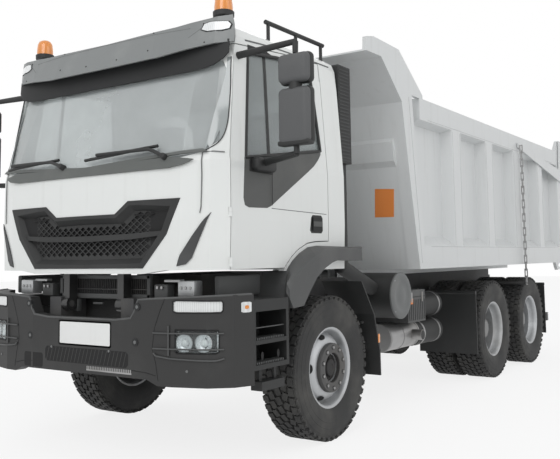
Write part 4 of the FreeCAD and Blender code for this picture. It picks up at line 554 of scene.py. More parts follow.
def cabPlan(z):
    # the cab's outline at a height, from the middle of the nose to the rear
    c = cabShape
    share = min(max((z - c["low"]) / c["height"], 0.0), 1.0)
    for lower, upper in zip(c["levels"], c["levels"][1:]):
        if share <= upper[0]:
            break
    t = (share - lower[0]) / (upper[0] - lower[0])
    rows = []
    for level in (lower, upper):
        width = c["half"] * level[1]
        front = c["front"] + c["length"] * level[2]
        depth = c["length"] * (level[3] - level[2])
        row = [Vector((x * width, front + y * depth)) for x, y in c["corner"]]
        row.append(Vector((width, c["front"] + c["length"] * level[4])))
        rows.append(row)
    return [a.lerp(b, t) for a, b in zip(*rows)]


def frontSkin(x, z):
    plan = cabPlan(z)
    side = -1.0 if x < 0 else 1.0
    reach = min(abs(x), plan[4].x - 0.0005)
    for a, b in zip(plan, plan[1:]):
        if reach <= b.x:
            t = (reach - a.x) / max(b.x - a.x, 1e-6)
            return Vector((side * reach, a.y + (b.y - a.y) * t, z))
    return Vector((side * plan[4].x, plan[4].y, z))


def sideSkin(y, z):
    plan = cabPlan(z)
    for a, b in zip(plan, plan[1:]):
        if y <= b.y:
            t = (y - a.y) / max(b.y - a.y, 1e-6)
            return Vector((a.x + (b.x - a.x) * t, y, z))
    return Vector((plan[-1].x, y, z))


def alongPlan(plan, x):
    # depth at x along a plan of (x, depth) points
    for (xa, ya), (xb, yb) in zip(plan, plan[1:]):
        if x <= xb:
            t = (x - xa) / (xb - xa)
            return ya + (yb - ya) * t
    return plan[-1][1]


def skinNormal(skin, u, v):
    step = 0.004
    across = skin(u + step, v) - skin(u - step, v)
    upward = skin(u, v + step) - skin(u, v - step)
    return across.cross(upward).normalized()


def lifted(skin, u, v, lift):
    # a place on the skin, moved outward
    normal = skinNormal(skin, u, v)
    facing = normal.x if skin is sideSkin else -normal.y
    if facing < 0:
        normal = -normal
    return skin(u, v) + normal * lift


def patch(bm, outline, skin, lift, wall, step=0.06, breaks=(), side=1.0):
    # a filled outline, cut into a grid, laid on the skin and thickened outward
    flat = bmesh.new()
    corners = [flat.verts.new((u, v, 0.0)) for u, v in outline]
    bmesh.ops.contextual_create(flat, geom=corners)
    for axis, way in ((0, Vector((1, 0, 0))), (1, Vector((0, 1, 0)))):
        low, high = min(p[axis] for p in outline), max(p[axis] for p in outline)
        count = max(1, int((high - low) / step))
        places = [low + (high - low) * k / count for k in range(1, count)]
        if axis == 0:
            places += breaks
        for place in places:
            bmesh.ops.bisect_plane(flat, geom=flat.verts[:] + flat.edges[:] + flat.faces[:], dist=1e-6,
                                   plane_co=way * place, plane_no=way)
    for vert in flat.verts:
        u, v = vert.co.x, vert.co.y
        vert.co = lifted(skin, u, v, lift(u, v) if callable(lift) else lift)
    bmesh.ops.recalc_face_normals(flat, faces=flat.faces)
    outward = Vector((1, 0, 0)) if skin is sideSkin else Vector((0, -1, 0))
    if sum(f.normal.dot(outward) * f.calc_area() for f in flat.faces) < 0:
        bmesh.ops.reverse_faces(flat, faces=flat.faces)
    bmesh.ops.solidify(flat, geom=flat.faces[:], thickness=wall)
    if side < 0:
        bmesh.ops.transform(flat, matrix=mirrorX, verts=flat.verts)
        bmesh.ops.reverse_faces(flat, faces=flat.faces)
    joined(bm, flat)
    flat.free()


def laid(name, outlines, skin, lift, wall, finish, body, sides=(1.0,), step=0.06, breaks=()):
    # a piece made of outlines that lie on a skin
    bm = bmesh.new()
    for outline in outlines:
        for side in sides:
            patch(bm, outline, skin, lift, wall, step, breaks, side)
    return settle(name, bm, finish, body)


def mirrorPoints(points):
    return points + [(-u, v) for u, v in reversed(points) if abs(u) > 1e-6]


def fromAxle(points):
    return [(at(y), z) for y, z in points]


def skinLine(points, skin, lift, side=1.0, gap=0.05):
    # points along a line on the skin, close enough to follow its bends
    spots = []
    for (ua, va), (ub, vb) in zip(points, points[1:]):
        count = max(1, int(math.hypot(ub - ua, vb - va) / gap))
        for k in range(count):
            t = k / count
            spots.append(lifted(skin, ua + (ub - ua) * t, va + (vb - va) * t, lift))
    spots.append(lifted(skin, *points[-1], lift))
    return [Vector((p.x * side, p.y, p.z)) for p in spots]


def skinLines(lines, skin, lift, gap=0.05):
    # the same lines on both sides of the truck
    return [skinLine(points, skin, lift, side, gap) for points in lines for side in bothSides]


# windscreen trim: dark lower cowl, a dark band under the visor that is partly sun band and partly painted
# shadow of the visor, and the glass's curved ends in painted reflection and shade
screenTrim = {
    "cowlLift": 0.012, "cowlBow": 0.012, "cowlWall": 0.01,
    "sunLift": 0.012, "sunFrom": 2.6, "sunLean": 0.3, "sunWall": 0.012,
    "endLift": 0.001, "endWall": 0.004, "endStep": 0.03,
    "sealLift": 0.004, "sealRadius": 0.0035, "sealPoints": 9,  # the seal follows the ends' first points
    "cowl": [(0.0, 1.957), (0.6, 1.959), (0.774, 1.961), (0.87, 1.974), (0.95, 2.004), (1.035, 2.052),
             (1.0, 2.07), (0.76, 2.03), (0.5, 2.022), (0.0, 2.016)],
    "sun": [(0.0, 2.625), (0.42, 2.625), (0.8, 2.628), (0.9, 2.636), (0.975, 2.652), (1.03, 2.68),
            (1.072, 2.718), (1.066, 2.8), (0.0, 2.82)],
    "ends": [(1.002, 2.06), (1.04, 2.078), (1.078, 2.118), (1.099, 2.18), (1.105, 2.27), (1.1, 2.4),
             (1.093, 2.53), (1.083, 2.63), (1.078, 2.71), (1.052, 2.71), (1.056, 2.6), (1.064, 2.4),
             (1.07, 2.2), (1.055, 2.13), (1.02, 2.1)],
}


def makeScreenTrim():
    t = screenTrim
    laid("cowlBand", [mirrorPoints(t["cowl"])], frontSkin, lambda x, z: t["cowlLift"] + t["cowlBow"] * x * x,
         t["cowlWall"], "cowlPlastic", "cab")
    # dark band under the visor: partly sun band, partly painted shadow of the visor; above sunFrom it leans
    # out under the visor
    laid("sunBandAndVisorShadow", [mirrorPoints(t["sun"])], frontSkin,
         lambda x, z: t["sunLift"] + max(0.0, z - t["sunFrom"]) * t["sunLean"],
         t["sunWall"], "shadePlastic", "cab")
    # the glass's curved ends are opaque grey strips of painted reflection and shade
    laid("screenEnds", [t["ends"]], frontSkin, t["endLift"], t["endWall"], "glassEnd", "cab",
         bothSides, t["endStep"])
    tube("screenSeal", skinLines([t["ends"][:t["sealPoints"]]], frontSkin, t["sealLift"]), t["sealRadius"],
         "blackPlastic", "cab")


# door trim: dark panel below the glass, cap above it, glass channel, divider, a line of painted shade in the
# crease, and seam
doorTrim = {
    "panelLift": 0.002, "panelWall": 0.01, "panelBend": -0.735, "capLift": 0.001, "capWall": 0.008,
    "channelRadius": 0.012, "dividerHalf": 0.014, "dividerLift": -0.012, "dividerWall": 0.014,
    "creaseLift": -0.0012, "creaseRadius": 0.003, "seamLift": 0.011, "seamRadius": 0.002,
    "panel": fromAxle([(-1.036, 2.033), (-1.052, 1.765), (-1.037, 1.716), (-0.993, 1.703), (-0.787, 1.708),
                       (-0.739, 1.724), (-0.161, 2.054), (-0.095, 2.107), (-0.056, 2.15), (-0.048, 2.186),
                       (-0.6, 2.104)]),
    "cap": fromAxle([(-0.915, 2.772), (-0.905, 2.835), (-0.7, 2.838), (-0.66, 2.79), (-0.553, 2.8)]),
    "window": fromAxle([(-1.02, 2.035), (-0.915, 2.772), (-0.553, 2.815), (-0.125, 2.836), (-0.052, 2.179),
                        (-1.02, 2.035)]),
    "divider": fromAxle([(-0.73, 2.075), (-0.7, 2.8)]),
    "crease": fromAxle([(-0.73, 1.708), (0.0, 1.694)]),
    "seam": fromAxle([(-0.735, 2.035), (-0.735, 1.728)]),
}
# door pull: rounded surround with an upper flap and a lower grip
doorPull = {
    "rear": -0.055, "front": -0.236, "low": 1.547, "high": 1.682, "lift": 0.001, "wall": 0.009, "step": 0.03,
    "corner": 0.02, "slope": 0.016, "topSlope": 0.004, "partWall": 0.006, "partStep": 0.04,
    # parts inside: how far in from the front, rear, low and high edges; lift and finish
    # the well is a dark patch of painted shade in the pull's recess
    "parts": (("pullWellShade", 0.03, 0.022, 0.018, 0.018, 0.0105, "shadePlastic"),
              ("pullFlap", 0.032, 0.026, 0.05, 0.047, 0.014, "doorPlastic")),
}


def makeDoorTrim():
    t = doorTrim
    for side, word in sideNames:
        body = "door_" + word
        laid("doorPanel_" + word, [t["panel"]], sideSkin, t["panelLift"], t["panelWall"], "doorPlastic", body,
             (side,), breaks=(at(t["panelBend"]),))
        laid("doorCap_" + word, [t["cap"]], sideSkin, t["capLift"], t["capWall"], "shadePlastic", body,
             (side,))
        tube("glassChannel_" + word, [skinLine(t["window"], sideSkin, 0.0, side)], t["channelRadius"],
             "blackPlastic", body, soft=False)
        (y0, z0), (y1, z1) = t["divider"]
        half = t["dividerHalf"]
        strip = [(y0 - half, z0), (y1 - half, z1), (y1 + half, z1), (y0 + half, z0)]
        laid("glassDivider_" + word, [strip], sideSkin, t["dividerLift"], t["dividerWall"], "blackPlastic",
             body, (side,))
        makeDoorPull(side, word, body)
        # the crease is a thin dark line: painted shade in the fold
        crease = skinLine(t["crease"], sideSkin, t["creaseLift"], side)
        tube("doorCreaseShade_" + word, [crease], t["creaseRadius"], "seamShade", body)
        tube("panelSeam_" + word, [skinLine(t["seam"], sideSkin, t["seamLift"], side)], t["seamRadius"],
             "shadePlastic", body)


def makeDoorPull(side, word, body):
    p = doorPull
    y0, y1, z0, z1 = at(p["front"]), at(p["rear"]), p["low"], p["high"]
    c, s = p["corner"], p["slope"]
    top = y1 - p["topSlope"]
    surround = [(y0, z0 + c), (y0 + c, z0), (y1 - c, z0), (y1, z0 + c), (top, z1 - c), (top - c, z1),
                (y0 + s + c, z1), (y0 + s, z1 - c)]
    laid("pullFrame_" + word, [surround], sideSkin, p["lift"], p["wall"], "blackPlastic", body,
         (side,), p["step"])
    for part, front, rear, low, high, lift, finish in p["parts"]:
        outline = rect(y0 + front, y1 - rear, z0 + low, z1 - high)
        laid(part + "_" + word, [outline], sideSkin, lift, p["partWall"], finish, body,
             (side,), p["partStep"])


def rect(x0, x1, z0, z1, corner=0.0):
    # four corners, cut off where a size is given
    if not corner:
        return [(x0, z0), (x1, z0), (x1, z1), (x0, z1)]
    c = corner
    return [(x0 + c, z0), (x1 - c, z0), (x1, z0 + c), (x1, z1 - c), (x1 - c, z1), (x0 + c, z1), (x0, z1 - c),
            (x0, z0 + c)]


# corner panels beside the grille: side vents as dark patches of painted shade, and panel seams; a sheet of
# painted shade behind the mesh
cornerTrim = {
    "ventLift": 0.009, "ventWall": 0.005, "ventStep": 0.04, "seamLift": 0.005, "seamRadius": 0.0035,
    "vent": [(1.055, 1.664), (1.0, 1.602), (0.934, 1.514), (0.853, 1.394), (0.829, 1.322), (0.891, 1.335),
             (0.931, 1.374), (0.971, 1.469), (1.02, 1.58)],
    "seams": ([(0.996, 2.05), (1.0, 1.9), (0.995, 1.7), (0.987, 1.66)],
              [(0.996, 2.052), (1.06, 2.056), (1.11, 2.052)]),
    "back": [((-0.79, -1.338, 1.335), (0.79, -1.334, 1.735))],
}


def makeCornerPanels():
    t = cornerTrim
    # the side vents are flat dark patches: painted shade in the vent openings
    laid("sideVents", [t["vent"]], frontSkin, t["ventLift"], t["ventWall"], "ventPlastic", "cab",
         bothSides, t["ventStep"])
    tube("panelSeams", skinLines(t["seams"], frontSkin, t["seamLift"]), t["seamRadius"], "seamShade", "cab",
         soft=False)


def makeGrilleShadeSheet():
    bm = bmesh.new()
    # a dark sheet of painted shade behind the grille's mesh
    blocks(bm, cornerTrim["back"])
    settle("grilleShadeSheet", bm, "holeShade", "cab")


# wipers: sprung arm, yoke and blade lying along the cowl
wiperSettings = {
    "armLift": 0.04, "armRadius": 0.012, "bladeLift": 0.024, "bladeRadius": 0.011, "yokeLift": 0.026,
    "yokeMiddle": 0.45, "yokeEnds": (0.2, 0.8), "yokeRadius": 0.008, "yokeTip": 0.005, "yokeSides": 8,
    "pivotHeight": 0.05, "pivotRadius": 0.024, "pivotTop": 0.019, "pivotEdge": 0.004,
    # for each wiper: pivot, elbow and tip of the arm, and the blade's ends
    "sets": (([(-0.24, 2.035), (-0.36, 2.075), (-0.86, 2.09)], [(-0.94, 2.068), (-0.3, 2.092)]),
             ([(0.735, 2.03), (0.61, 2.085), (0.12, 2.085)], [(0.0, 2.062), (0.66, 2.11)])),
}


def makeWipers():
    w = wiperSettings
    arms, blades = [], []
    bm = bmesh.new()
    for arm, blade in w["sets"]:
        arms.append(skinLine(arm, frontSkin, w["armLift"]))
        blades.append(skinLine(blade, frontSkin, w["bladeLift"]))
        rod(bm, lifted(frontSkin, *arm[0], 0.0), lifted(frontSkin, *arm[0], w["pivotHeight"]),
            w["pivotRadius"], w["pivotTop"], edge=w["pivotEdge"])
        first, last = Vector(blade[0]), Vector(blade[1])
        middle = first.lerp(last, w["yokeMiddle"])
        for share in w["yokeEnds"]:
            end = first.lerp(last, share)
            rod(bm, lifted(frontSkin, *middle, w["armLift"]), lifted(frontSkin, *end, w["yokeLift"]),
                w["yokeRadius"], w["yokeTip"], w["yokeSides"])
    settle("wiperYokes", bm, "blackPlastic", "cab")
    tube("wiperArms", arms, w["armRadius"], "blackPlastic", "cab")
    tube("wiperBlades", blades, w["bladeRadius"], "blackPlastic", "cab", soft=False)


makeScreenTrim()
makeDoorTrim()
makeCornerPanels()
makeGrilleShadeSheet()
makeWipers()
print("cab trim made")


# wheels: tyre carcass with tread blocks, pressed discs, hub rings and nuts; x along the axle, outward
treadSettings = {
    "blocks": 46, "top": 0.5368, "base": 0.516, "lengthShare": 0.8,
    # rows: place along the axle, width, shift in pitches, slant in degrees
    "rows": ((0.0, 0.042, 0.0, 20), (0.058, 0.042, 0.5, -20), (-0.058, 0.042, 0.5, 20),
             (0.111, 0.042, 0.0, -8), (-0.111, 0.042, 0.0, 8)),
    "shoulder": {"place": 0.1365, "radius": 0.513, "lean": 0.5, "wide": 0.014, "lengthShare": 0.62,
                 "deep": 0.03},
    "carcass": ((0.112, 0.29), (0.126, 0.299), (0.131, 0.31), (0.14, 0.326), (0.15, 0.357), (0.1548, 0.392),
                (0.1552, 0.4), (0.1538, 0.402), (0.1545, 0.42), (0.1535, 0.444), (0.1515, 0.446),
                (0.1505, 0.462), (0.146, 0.48), (0.1455, 0.487), (0.1425, 0.489), (0.139, 0.505),
                (0.133, 0.515), (0.124, 0.5195), (0.06, 0.5225), (0.0, 0.523)),
}
wheelSettings = {
    "height": 0.538, "frontTrack": 1.024, "rearTrack": 0.909, "twinGap": 0.175,
    "rearAxles": (("mid", 3.5), ("rear", 4.88)),
    # profiles: place along the axle and radius
    "barrel": ((-0.124, 0.305), (-0.128, 0.298), (-0.124, 0.284), (-0.11, 0.277), (-0.07, 0.27),
               (-0.045, 0.255), (0.03, 0.255), (0.05, 0.268), (0.085, 0.272), (0.11, 0.277), (0.121, 0.283),
               (0.1265, 0.292), (0.1278, 0.3), (0.124, 0.3055), (0.118, 0.3035)),
    "frontDisc": ((0.045, 0.268), (0.053, 0.262), (0.066, 0.25), (0.085, 0.236), (0.1, 0.221), (0.11, 0.205),
                  (0.1155, 0.19), (0.117, 0.17), (0.117, 0.1)),
    "frontRing": ((0.112, 0.108), (0.112, 0.181), (0.118, 0.1835), (0.143, 0.1825), (0.15, 0.179),
                  (0.152, 0.173), (0.152, 0.124), (0.149, 0.113), (0.143, 0.108)),
    "frontCup": ((0.145, 0.1085), (0.105, 0.104), (0.098, 0.09), (0.097, 0.072), (0.102, 0.066),
                 (0.128, 0.062), (0.133, 0.056), (0.133, 0.03), (0.13, 0.026), (0.13, 0.0)),
    "frontDrum": ((-0.1, 0.0), (-0.1, 0.2), (0.08, 0.2), (0.1, 0.12)),
    "rearDisc": ((0.046, 0.268), (0.036, 0.262), (0.03, 0.25), (0.02, 0.226), (0.014, 0.2), (0.012, 0.17),
                 (0.012, 0.12)),
    "rearHub": ((0.006, 0.148), (0.012, 0.146), (0.03, 0.134), (0.12, 0.128), (0.165, 0.124), (0.172, 0.118),
                (0.175, 0.106), (0.2, 0.102), (0.208, 0.092), (0.21, 0.07), (0.21, 0.0)),
    "rearDrum": ((-0.2, 0.0), (-0.2, 0.203), (-0.01, 0.203), (0.0, 0.15)),
    "barrelWall": 0.007, "discWall": 0.01,
    # nuts: count, circle, from, to, radius, sides
    "frontNuts": (10, 0.1505, 0.15, 0.161, 0.0115, 12), "nutCups": (10, 0.1505, 0.148, 0.1535, 0.0185, 20),
    "hubBolts": (8, 0.078, 0.096, 0.104, 0.008, 6), "rearNuts": (10, 0.1675, 0.012, 0.04, 0.015, 6),
    "rearBolts": (8, 0.088, 0.206, 0.2135, 0.0075, 6), "nutTaper": 0.92,
    # hand holes, drawn as dark ovals of painted shade: count, circle, place, lean in degrees, half sizes
    "frontHoles": (5, 0.2365, 0.0868, -52.0, (0.026, 0.036)),
    "rearHoles": (8, 0.213, 0.0175, -20.0, (0.022, 0.03)),
}


def treadBlock(bm, turn, spot, size):
    made = bmesh.ops.create_cube(bm, size=1.0)["verts"]
    bmesh.ops.transform(bm, matrix=turn @ spot @ Matrix.Diagonal((*size, 1.0)), verts=made)


def makeTyre():
    t = treadSettings
    side = list(t["carcass"])
    bm = lathe(side + [(-a, r) for a, r in reversed(side[:-1])], 72)
    pitch = 2 * math.pi / t["blocks"]
    length = t["top"] * pitch * t["lengthShare"]
    middle = (t["top"] + t["base"]) / 2
    for place, width, shift, slant in t["rows"]:
        spot = Matrix.Translation((place, 0.0, middle)) @ Matrix.Rotation(math.radians(slant), 4, "Z")
        for i in range(t["blocks"]):
            turn = Matrix.Rotation((i + shift) * pitch, 4, "X")
            treadBlock(bm, turn, spot, (width, length, t["top"] - t["base"]))
    s = t["shoulder"]
    for i in range(t["blocks"]):
        turn = Matrix.Rotation(i * pitch, 4, "X")
        for way in bothSides:
            lean = Matrix.Rotation(way * s["lean"], 4, "Y")
            treadBlock(bm, turn, Matrix.Translation((way * s["place"], 0.0, s["radius"])) @ lean,
                       (s["wide"], length * s["lengthShare"], s["deep"]))
    return bm


def nutRing(bm, count, circle, low, high, radius, sides):
    for i in range(count):
        angle = 2 * math.pi * (i + 0.5) / count
        y, z = circle * math.cos(angle), circle * math.sin(angle)
        rod(bm, (low, y, z), (high, y, z), radius, radius * wheelSettings["nutTaper"], sides)


def holeShadeRing(bm, count, circle, place, lean, size):
    # dark ovals of painted shade standing in for the hand holes, lying on the disc's slope
    flat = Matrix.Diagonal((size[0], size[1], 1.0, 1.0))
    stand = Matrix.Rotation(math.radians(90.0), 4, "Y")
    spot = Matrix.Translation((place, 0.0, circle)) @ Matrix.Rotation(math.radians(lean), 4, "Y")
    for i in range(count):
        made = bmesh.ops.create_circle(bm, cap_ends=True, radius=1.0, segments=20)["verts"]
        turn = Matrix.Rotation(2 * math.pi * (i + 0.2) / count, 4, "X")
        bmesh.ops.transform(bm, matrix=turn @ spot @ stand @ flat, verts=made)


def ringed(maker, *rings):
    # one bmesh with rings of nuts or holes
    bm = bmesh.new()
    for ring in rings:
        maker(bm, *wheelSettings[ring])
    return bm


def frontWheelParts(tread, barrel):
    # each part: its shapes with their shift along the axle, finish and slot
    s = wheelSettings
    disc = lathe(s["frontDisc"], 96, wall=s["discWall"])
    cups = ringed(nutRing, "nutCups")
    joined(cups, lathe(s["frontCup"], 48))
    bolts, drum = ringed(nutRing, "hubBolts"), lathe(s["frontDrum"], 48)
    return {
        "tyreTread": (((tread, 0.0),), "tyreRubber", "tyre"),
        "wheelDisc": (((barrel, 0.0), (disc, 0.0)), "rimSilver", "rim_silver"),
        "hubRing": (((lathe(s["frontRing"], 72, closed=True), 0.0),), "hubGrey", "iron"),
        "wheelNuts": (((ringed(nutRing, "frontNuts"), 0.0),), "bareSteel", "bare_steel"),
        "hubCup": (((cups, 0.0), (bolts, 0.0), (drum, 0.0)), "hubDark", "iron"),
        "handHoleShade": (((ringed(holeShadeRing, "frontHoles"), 0.0),), "holeShade", "black_plastic"),
    }


def rearWheelParts(tread, barrel):
    # the same for twin wheels, a gap each way from their middle
    s = wheelSettings
    gap = s["twinGap"]
    disc = lathe(s["rearDisc"], 96, wall=-s["discWall"])
    return {
        "tyreTread": (((tread, gap), (tread, -gap)), "tyreRubber", "tyre"),
        "wheelDisc": (((barrel, gap), (barrel, -gap), (disc, 0.0)), "rimSilver", "rim_silver"),
        "hubRing": (((lathe(s["rearHub"], 60), 0.0),), "hubPale", "iron"),
        "wheelNuts": (((ringed(nutRing, "rearNuts", "rearBolts"), 0.0),), "bareSteel", "bare_steel"),
        "hubCup": (((lathe(s["rearDrum"], 48), 0.0),), "hubDark", "iron"),
        "handHoleShade": (((ringed(holeShadeRing, "rearHoles"), 0.0),), "holeShade", "black_plastic"),
    }


def wheelPieces(name, place, parts, side):
    # parts are placed on the left wheel and mirrored for the right; tyre and rim replace the CAD's
    spot = Matrix.Translation(place)
    if side < 0:
        spot = mirrorX @ spot
    made = {}
    for part, (shapes, finish, slot) in parts.items():
        bm = bmesh.new()
        for shape, shift in shapes:
            joined(bm, shape, spot @ Matrix.Translation((shift, 0, 0)))
        made[part] = settle(part + "_" + name, bm, finish, "wheel_" + name, 30.0)
    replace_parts(made["tyreTread"], "tyre_" + name)
    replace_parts(made["wheelDisc"], "rim_" + name)


def makeWheels():
    s = wheelSettings
    tread, barrel = makeTyre(), lathe(s["barrel"], 96, wall=s["barrelWall"])
    front, rear = frontWheelParts(tread, barrel), rearWheelParts(tread, barrel)
    for side, word in sideNames:
        wheelPieces("front_" + word, (s["frontTrack"], at(0.0), s["height"]), front, side)
        for axle, offset in s["rearAxles"]:
            wheelPieces(axle + "_" + word, (s["rearTrack"], at(offset), s["height"]), rear, side)


# bumper: its plan as a rule for the trim that lies on it, as (x, offset from the front axle)
bumperPlan = ((0.0, -1.43), (0.5, -1.43), (0.825, -1.4069), (1.0625, -1.3376), (1.19375, -1.232),
              (1.25, -1.1))
bumperBends = tuple(x for x, y in bumperPlan[1:-1])
bumperSettings = {
    "front": -1.43,
    # flat pieces on its middle: ends in x and z with the corner's cut, lift, wall, finish and slot
    "plateFrame": ((-0.217, 0.31, 0.783, 0.956, 0.01), 0.0, 0.001, "blackPlastic", "black_plastic"),
    "plateBlank": ((-0.205, 0.298, 0.795, 0.944, 0.006), 0.0005, 0.0015, "plateWhite", "grey_plastic"),
    # the louvre well is a dark sheet of painted shade behind the louvre bars
    "louvreWellShade": ((-0.36, 0.47, 0.664, 0.768, 0.02), 0.0003, 0.001, "holeShade", "black_plastic"),
    # the tow box is a flat dark patch: painted shade in the tow opening
    "towBoxShade": ((-0.6, -0.385, 0.612, 0.715, 0.012), 0.0003, 0.0018, "holeShade", "black_plastic"),
    # bolts in round cups, the cups' dark discs being painted shade, and small screws with no cup; from and to
    # count into the face
    "bolts": ((0.548, 1.062), (0.53, 0.834)), "cupRadius": 0.026, "cupFrom": 0.02, "cupTo": -0.001,
    "boltRadius": 0.0125, "boltFrom": 0.01, "boltTo": -0.0025,
    "screws": ((0.93, 0.669), (0.29, 0.764)), "screwRadius": 0.009, "screwFrom": -0.003, "screwTo": 0.004,
    "lipLift": -0.005, "lipRadius": 0.008, "seamLift": -0.0015, "seamRadius": 0.0035,
    "lip": [(0.0, 0.971), (0.34, 0.971), (0.488, 0.987), (0.52, 1.03), (0.552, 1.108), (0.7, 1.117),
            (1.0, 1.13), (1.245, 1.141)],
    "seams": [[(0.774, 1.118), (0.735, 1.04), (0.69, 0.93), (0.672, 0.8), (0.7, 0.71), (0.72, 0.6)],
              [(0.5, 0.652), (0.62, 0.645), (0.7, 0.63)]],
    "louvres": 22, "louvreStart": -0.345, "louvrePitch": 0.0365, "louvreSlant": 0.03,
    "louvreLow": 0.668, "louvreHigh": 0.764, "louvreLift": -0.003, "louvreRadius": 0.0045,
}
# serrated metal tread set into the bumper's lower edge; y counts from the bumper's face
bumperStep = {
    "tray": [((0.07, -0.0005, 0.622), (0.5, 0.05, 0.634), 0.002)],
    "teeth": 26, "start": 0.075, "pitch": 0.0165, "tooth": ((0.0, -0.002, 0.633), (0.008, 0.05, 0.654)),
    "edge": 0.0015,
}


def bumperSkin(x, z):
    reach = min(abs(x), bumperPlan[-1][0] - 0.0001)
    return Vector((math.copysign(reach, x), at(alongPlan(bumperPlan, reach)), z))


def onBumper(name, outlines, lift, wall, finish, sides=bothSides, step=0.05):
    laid(name, outlines, bumperSkin, lift, wall, finish, "chassis", sides, step, bumperBends)


def onMiddle(name):
    sizes, lift, wall, finish, slot = bumperSettings[name]
    onBumper(name, [rect(*sizes)], lift, wall, finish, (1.0,))


def bumperLines(lines, lift):
    return skinLines(lines, bumperSkin, lift, 0.03)


def makeBumperTrim():
    b = bumperSettings
    onMiddle("plateFrame")
    onMiddle("plateBlank")
    cups, heads = bmesh.new(), bmesh.new()
    inward = Vector((0, 1, 0))
    for x, z in b["bolts"]:
        for side in bothSides:
            spot = Vector((x * side, at(b["front"]), z))
            rod(cups, spot + inward * b["cupFrom"], spot + inward * b["cupTo"], b["cupRadius"], sides=28)
            rod(heads, spot + inward * b["boltFrom"], spot + inward * b["boltTo"], b["boltRadius"], sides=6)
    for x, z in b["screws"]:
        for side in bothSides:
            ends = [lifted(bumperSkin, x * side, z, lift) for lift in (b["screwFrom"], b["screwTo"])]
            rod(heads, *ends, b["screwRadius"], sides=10)
    # dark discs round the bolts: painted shade in their cups
    settle("boltCupShade", cups, "shadePlastic", "chassis")
    settle("bumperBolts", heads, "capGrey", "chassis")
    tube("bumperLip", bumperLines([b["lip"]], b["lipLift"]), b["lipRadius"], "bumperEdge", "chassis",
         soft=False)
    tube("bumperSeams", bumperLines(b["seams"], b["seamLift"]), b["seamRadius"], "holeShade", "chassis",
         soft=False)
    onMiddle("louvreWellShade")
    bars = []
    for i in range(b["louvres"]):
        x = b["louvreStart"] + i * b["louvrePitch"]
        bars.append([lifted(bumperSkin, x, b["louvreLow"], b["louvreLift"]),
                     lifted(bumperSkin, x + b["louvreSlant"], b["louvreHigh"], b["louvreLift"])])
    tube("louvreBars", bars, b["louvreRadius"], "bumperPlastic", "chassis", soft=False)
    onMiddle("towBoxShade")


def makeBumperStep():
    s = bumperStep
    face = at(bumperSettings["front"])
    bm = bmesh.new()
    blocks(bm, s["tray"], face)
    (x0, y0, z0), (x1, y1, z1) = s["tooth"]
    for i in range(s["teeth"]):
        x = s["start"] + i * s["pitch"]
        blocks(bm, [((x + x0, y0, z0), (x + x1, y1, z1), s["edge"], 1)], face)
    settle("bumperStep", bm, "bareSteel", "chassis")


# head lamps: bowls and projectors behind a clear shield, with their guard; day lamps above; repeaters
headLamps = {
    "places": ((1.034, 0.842), (0.906, 0.84)), "lift": -0.012,
    "bowl": [(0.0, 0.0564), (-0.0033, 0.054708), (-0.0121, 0.04512), (-0.0198, 0.0282), (-0.022, 0.015792)],
    "ring": [(-0.002, 0.059), (0.003, 0.059), (0.004, 0.056), (-0.002, 0.054)],
    "eye": [(-0.02, 0.026), (-0.008, 0.025), (-0.001, 0.018), (0.002, 0.0)],
    "back": [(0.852, 0.92), (1.11, 0.92), (1.11, 0.785), (0.852, 0.785)],
    "shield": [(0.852, 0.926), (1.116, 0.924), (1.122, 0.9), (1.12, 0.79), (1.105, 0.779), (0.86, 0.778),
               (0.852, 0.79)],
    "day": [(0.838, 1.1), (0.86, 1.108), (1.135, 1.104), (1.142, 1.09), (1.14, 1.044), (1.13, 1.032),
            (0.86, 1.03), (0.838, 1.04)],
    # covers: outline, lift, wall, finish and slot
    "covers": (("lampBack", "back", -0.035, 0.0015, "shadePlastic", "black_plastic"),
               ("lampShield", "shield", -0.006, 0.002, "lampShield", "glass"),
               ("dayLens", "day", -0.004, 0.005, "lampClear", "lamp_clear")),
    # dark lines of painted shadow round the covers: outline, lift and radius
    "frames": (("dayFrame", "day", 0.0005, 0.0045), ("shieldFrame", "shield", -0.001, 0.005)),
    "guardLift": 0.008, "guardRadius": 0.0055,
    "guard": [[(0.809, 0.948), (0.809, 0.762)], [(0.684, 0.9), (0.86, 0.902), (1.144, 0.904)],
              [(0.684, 0.802), (0.86, 0.804), (1.144, 0.806)],
              [(0.688, 0.775), (0.7, 0.757), (0.831, 0.744), (1.0, 0.738), (1.114, 0.737), (1.145, 0.75)]],
    # repeaters: ends in x and z with the corner's cut, lift, wall, finish and slot
    "repeaters": (
        ("repeaterBase", (1.208, 1.2465, 1.018, 1.104, 0.006), -0.001, 0.004, "blackPlastic",
         "black_plastic"),
        ("repeaterLens", (1.214, 1.243, 1.028, 1.094, 0.005), 0.002, 0.004, "lampClear", "lamp_clear"),
        ("repeaterBulb", (1.224, 1.235, 1.05, 1.072, 0.003), 0.0055, 0.0015, "amberLens", "amber"),
    ),
    "repeaterStep": 0.02,
}


